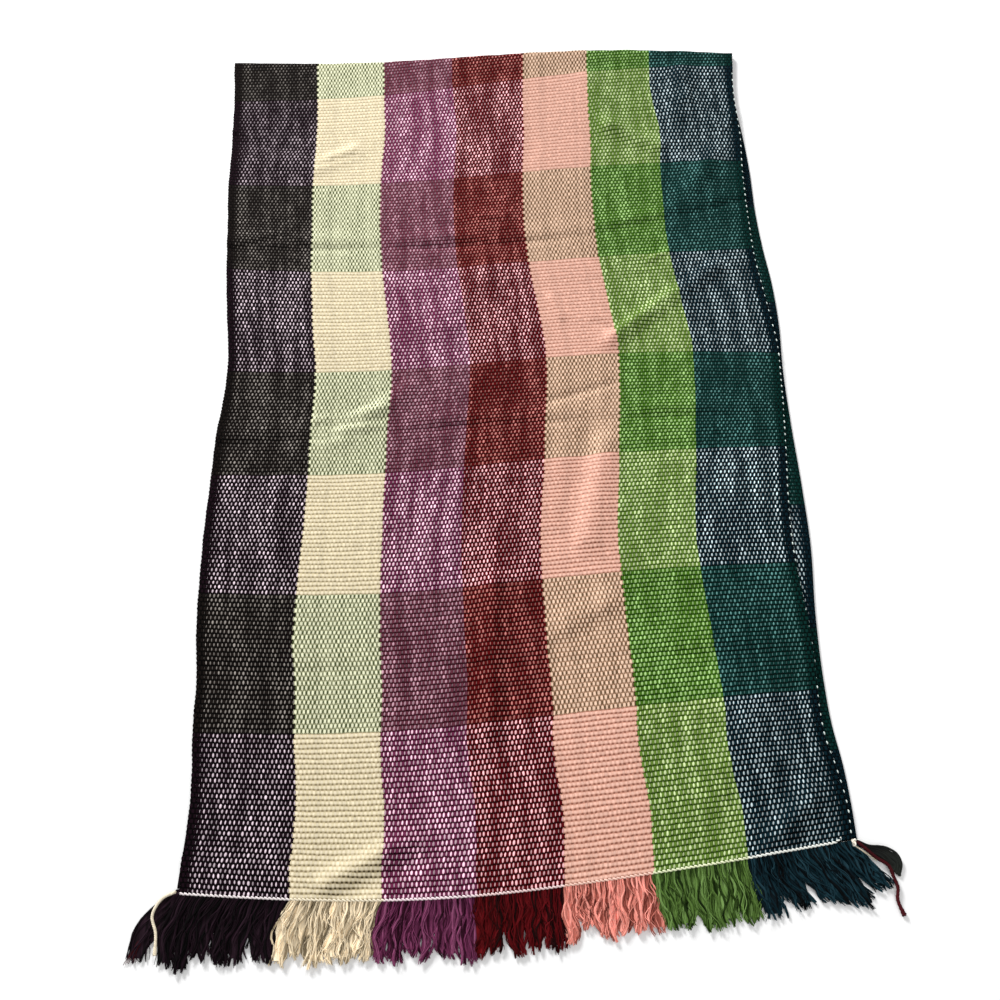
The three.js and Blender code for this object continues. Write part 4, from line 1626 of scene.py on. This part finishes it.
    def bed(self, rows: list[Lock], first: int) -> tuple[Array, Array, Array]:
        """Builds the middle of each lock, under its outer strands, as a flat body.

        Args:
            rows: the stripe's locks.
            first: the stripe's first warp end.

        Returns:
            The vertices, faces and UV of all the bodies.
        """
        f = np.linspace(0, 1, self.bed_steps)[None, :]
        starts = first + np.cumsum([0] + [row.ends for row in rows]).astype(float)
        roots = self.roots(starts)
        tip_y = np.array([row.tip for row in rows], float)[:, None]
        sides = []
        for root, tip in zip((roots[:-1], roots[1:]), self.parting(rows, f)):
            y = root[:, 1:2] - 0.5 + (tip_y + 6 - root[:, 1:2]) * f
            sides.append((self.sweep(root[:, :1], tip, f), y))
        (xl, yl), (xr, yr) = sides
        narrow = 1.0 - 0.4 * np.clip((f - 0.6) / 0.4, 0, 1) ** 1.5
        height, squash = (2.15, 1.3) if self.half is Half.UPPER else (1.5, 0.6)
        centre = np.stack([(xl + xr) / 2, (yl + yr) / 2, np.full_like(xl, height)], axis=-1)
        reach = (xr - xl) / 2 * narrow + 0.4
        angle = 2 * math.pi * np.arange(self.bed_sides) / self.bed_sides
        ring = np.stack([np.cos(angle), 0 * angle, squash * np.sin(angle)], axis=-1)
        size = np.stack([reach, reach, np.ones_like(reach)], axis=-1)
        points = centre[:, :, None, :] + ring * size[:, :, None, :]
        number = 900.0 + 0.45 * points[..., 0]
        share = np.broadcast_to(f[:, :, None], points.shape[:3])
        uv = np.stack([number, share], axis=-1).reshape(-1, 2)
        return points.reshape(-1, 3), ring_faces(len(rows), self.bed_steps, self.bed_sides), uv

    def build(self) -> bpy.types.Object:
        """Builds the strands and their bed as one mesh in place of the stripe's locks.

        Returns:
            The fringe.
        """
        stripe, rows = STRIPES[self.number], self.locks()
        first = sum(s.ends for s in STRIPES[: self.number])
        paths, radii = self.yarns(rows, first)
        points, faces, uv = tubes(paths, np.broadcast_to(radii, paths.shape[:2]), 3)
        more, more_faces, more_uv = self.bed(rows, first)
        faces = np.concatenate([faces, more_faces + len(points)])
        points, uv = np.concatenate([points, more]), np.concatenate([uv, more_uv])
        name = f"fringe_{self.half.value}_{stripe.name}"
        piece = make_object(f"{name}_strands", points, faces, {"Yarn": uv}, self.finish)
        return fit(piece, name)


@dataclass
class Tuft:
    """A loose tuft of fibres spread between two routes, in mm."""

    name: str
    slot: str
    finish: bpy.types.Material
    outer: Route
    inner: Route
    count: int = 16
    radius: float = 0.5
    replaced: str = ""
    steps: int = 20

    def build(self) -> bpy.types.Object:
        """Builds the fibres from the outer route to the inner one.

        Returns:
            The tuft.
        """
        outer, inner = through_points(self.outer, self.steps), through_points(self.inner, self.steps)
        k = np.arange(self.count, dtype=float)
        f = np.linspace(0, 1, self.steps)
        mix = ((k + 0.3 + 0.4 * scatter(k, 1.0)) / self.count)[:, None, None]
        length = (1.0 - 0.16 * scatter(k, 2.0))[:, None, None]
        paths = outer[None] * (1 - mix) + inner[None] * mix
        start = paths[:, :1]
        paths = start + (paths - start) * (1 - (1 - length) * f[:, None])
        wave = np.sin(2 * math.pi * (f * 1.6 + scatter(k, 3.0)[:, None])) * np.minimum(3 * f, 1)
        paths = paths + wave[..., None] * np.array([0.5, 0.5, 0.25])
        paths[..., 2] += 1.2 * scatter(k, 4.0)[:, None] * np.sin(math.pi * f)
        paths[..., 2] = np.maximum(paths[..., 2], self.radius + 0.1)
        piece = yarn_object(self.name, paths, self.radius * (1 - 0.5 * f**4), 5, self.finish)
        return fit(piece, self.replaced)


@dataclass
class YarnEnd:
    """A loose end of plied yarn along a route in mm."""

    node: str
    slot: str
    finish: bpy.types.Material
    route: Route
    radius: float
    turn: float = 5.0
    plies: int = 3
    steps: int = 70

    def build(self) -> bpy.types.Object:
        """Builds the plies of the yarn, opening a little at the tip.

        Returns:
            The yarn.
        """
        line = through_points(self.route, self.steps)
        run = lengths(line)
        along = np.gradient(line, axis=0)
        along /= np.linalg.norm(along, axis=1, keepdims=True)
        side = np.cross(along, [0.0, 0.0, 1.0])
        side /= np.linalg.norm(side, axis=1, keepdims=True)
        open_up = 1.0 + 0.9 * np.clip((run - run[-1] + 9) / 9, 0, 1)
        plies = []
        for k in range(self.plies):
            phase = run / self.turn * 2 * math.pi + k * 2 * math.pi / self.plies
            ply = line + side * (0.5 * self.radius * open_up * np.cos(phase))[:, None]
            ply[:, 2] += 0.45 * self.radius * np.sin(phase)
            plies.append(ply)
        piece = yarn_object(f"{self.node}_yarn", np.stack(plies), 0.56 * self.radius, 6, self.finish)
        return fit(piece, self.node)


@dataclass
class Knot:
    """The overhand knot that ends the upper hem's cord at the right corner."""

    finish: bpy.types.Material
    centre: tuple[float, float, float] = (338.6, -472.9, 5.6)
    yarn: float = 0.85
    steps: int = 120

    def build(self) -> bpy.types.Object:
        """Builds the knot as one closed, knotted strand.

        Returns:
            The knot.
        """
        t = np.linspace(0, 2 * math.pi, self.steps)
        x = (np.sin(t) + 2 * np.sin(2 * t)) * 0.62
        y = (np.cos(t) - 2 * np.cos(2 * t)) * 1.10
        z = -np.sin(3 * t) * 1.35
        paths = (np.stack([x, y, z], axis=1) + np.array(self.centre))[None]
        return fit(yarn_object("hem_knot", paths, self.yarn, 8, self.finish), "corner_knot")


# ------------------------------------------------------------------ studio


@dataclass
class Studio:
    """A pale floor, soft lights and a camera high over the fringed end."""

    camera_place: tuple[float, float, float] = (0.0112, -0.5789, 1.0215)
    camera_tilt: float = 24.0
    lens: float = 37.8
    floor_size: float = 12.0
    floor_drop: float = 0.0004
    sky: float = 0.42

    def floor(self) -> None:
        """Lays the floor."""
        bpy.ops.mesh.primitive_plane_add(size=self.floor_size, location=(0, 0, -self.floor_drop))
        plane = bpy.context.object
        plane.name = "floor"
        g = Graph("pale_floor")
        grain = g.noise(g.join(0.0, 0.0, 0.0), 4.0)
        pale = g.mix(grain, (0.93, 0.93, 0.93, 1.0), (0.95, 0.95, 0.95, 1.0))
        plane.data.materials.append(g.finish(pale, 0.9, 0.5))

    def light(self, name: str, place: tuple[float, float, float], size: float, power: float) -> None:
        """Hangs a square soft light that looks at the shawl's middle.

        Args:
            name: the light's name.
            place: where it hangs, in metres.
            size: its side, in metres.
            power: its power, in watts.
        """
        data = bpy.data.lights.new(name, "AREA")
        data.size, data.energy = size, power
        lamp = bpy.data.objects.new(name, data)
        lamp.location = place
        x, y, z = place
        lamp.rotation_euler = (math.pi / 2 - math.atan2(z, math.hypot(x, y)), 0.0, math.atan2(x, -y))
        bpy.context.scene.collection.objects.link(lamp)

    def camera(self) -> None:
        """Places the camera."""
        data = bpy.data.cameras.new("camera")
        data.lens, data.sensor_width, data.sensor_fit = self.lens, 36.0, "HORIZONTAL"
        eye = bpy.data.objects.new("camera", data)
        eye.location = self.camera_place
        eye.rotation_euler = (math.radians(self.camera_tilt), 0.0, 0.0)
        bpy.context.scene.collection.objects.link(eye)
        bpy.context.scene.camera = eye

    def build(self) -> None:
        """Sets up the floor, the lights, the world and the camera."""
        self.floor()
        self.light("key", (-1.9, 2.9, 2.1), 1.1, 190.0)
        self.light("fill", (0.8, -0.9, 3.2), 3.0, 40.0)
        scene = bpy.context.scene
        world = scene.world or bpy.data.worlds.new("studio")
        world.use_nodes = True
        background = world.node_tree.nodes["Background"]
        background.inputs[0].default_value = (1, 1, 1, 1)
        background.inputs[1].default_value = self.sky
        scene.world = world
        scene.view_settings.view_transform = "Standard"
        self.camera()


# ------------------------------------------------------------------ all of it

# The hem cord takes a little of each stripe's colour on its way across.
CORD_COLOURS: tuple[str, ...] = ("f6ecec", "f2e6cc", "fae6ea", "fbdedc", "f4ccbc", "eef4cc", "f2f4ec")
WEFT_TAIL: Route = [
    (-283.6, -516, 4.6), (-295, -521.5, 4.0), (-302.5, -536, 3.7), (-297.5, -551, 3.7), (-296, -569, 3.7),
]
CREAM_END: Route = [(340.1, -476.4, 4.35), (349, -482.0, 3.0), (358.5, -488.5, 3.0)]
RED_END: Route = [
    (341.5, -472.5, 5.8), (348.5, -478.5, 5.2), (358, -486.7, 4.6), (368.3, -493.7, 4.0), (371.5, -503, 3.4),
    (374.2, -512, 2.8), (372.6, -521.7, 2.3), (376.8, -536, 1.9),
]
BLACK_OUTER: Route = [
    (341.5, -471, 4.4), (352, -475.5, 4.0), (366.5, -477.0, 3.4), (378.3, -484.4, 3.0), (381.4, -491, 2.6),
    (378.6, -502.5, 1.8),
]
BLACK_INNER: Route = [
    (341.5, -472.5, 3.6), (349, -479, 3.0), (357.5, -483.8, 2.4), (368, -490.8, 2.0), (375, -494.4, 1.6),
    (378.3, -502.5, 1.4),
]
RED_FIBRES_OUTER: Route = [(-313, -556, 1.6), (-318, -566, 1.4), (-324, -577, 1.2)]
RED_FIBRES_INNER: Route = [(-309, -558, 1.6), (-312, -568, 1.4), (-313, -577, 1.2)]


def main() -> None:
    """Builds the studio and the shawl, piece by piece, and reports each."""
    logging.basicConfig(level=logging.INFO, format="%(message)s")
    Studio().build()
    for piece in WovenWeb(WeaveFinish().make()).build():
        LOG.info("%s: %d faces", piece.name, len(piece.data.polygons))
    cord = YarnFinish("cream_cord", "fdf3e6", "fbf0e0", 0.10, stripes=CORD_COLOURS).make()
    cream = YarnFinish("cream_yarn", "eee2cc", "e9dcc2", 0.14).make()
    for half in Half:
        LOG.info("%s", Hem(half, cord).build().name)
    LOG.info("%s", SelvageLoops(YarnFinish("weft_turns", "e4f0ea", "dceae4", 0.2).make()).build().name)
    for number, stripe in enumerate(STRIPES):
        for half in Half:
            strands = 5 if half is Half.UPPER else 3
            name, colour = f"{stripe.name}_{half.value}", stripe.fringe
            yarn = YarnFinish(name, colour, colour, 0.5, strands, depth=0.8, painted_sheen=stripe.painted_sheen).make()
            LOG.info("%s", Fringe(half, number, yarn, strands).build().name)
    red = YarnFinish("knot_red_yarn", "3c0a10", "481218", 0.25).make()
    black = YarnFinish("knot_black_yarn", "121011", "242824", 0.3).make()
    knot = YarnFinish("knot_cream_yarn", "fbf5e8", "f6ecda", 0.08).make()
    loose = (
        YarnEnd("weft_tail_cream", "cord", cream, WEFT_TAIL, 1.45),
        YarnEnd("knot_end_cream", "cord", cream, CREAM_END, 0.8),
        YarnEnd("knot_end_red", "knot_red", red, RED_END, 1.75),
        Tuft("knot_end_black_fibres", "knot_black", black, BLACK_OUTER, BLACK_INNER, 50, 0.87,
             replaced="knot_end_black"),
        Tuft("corner_fibres_red", "knot_red", red, RED_FIBRES_OUTER, RED_FIBRES_INNER, 9, 0.4),
        Knot(knot),
    )
    for part in loose:
        LOG.info("%s", part.build().name)


if __name__ == "__main__":
    main()
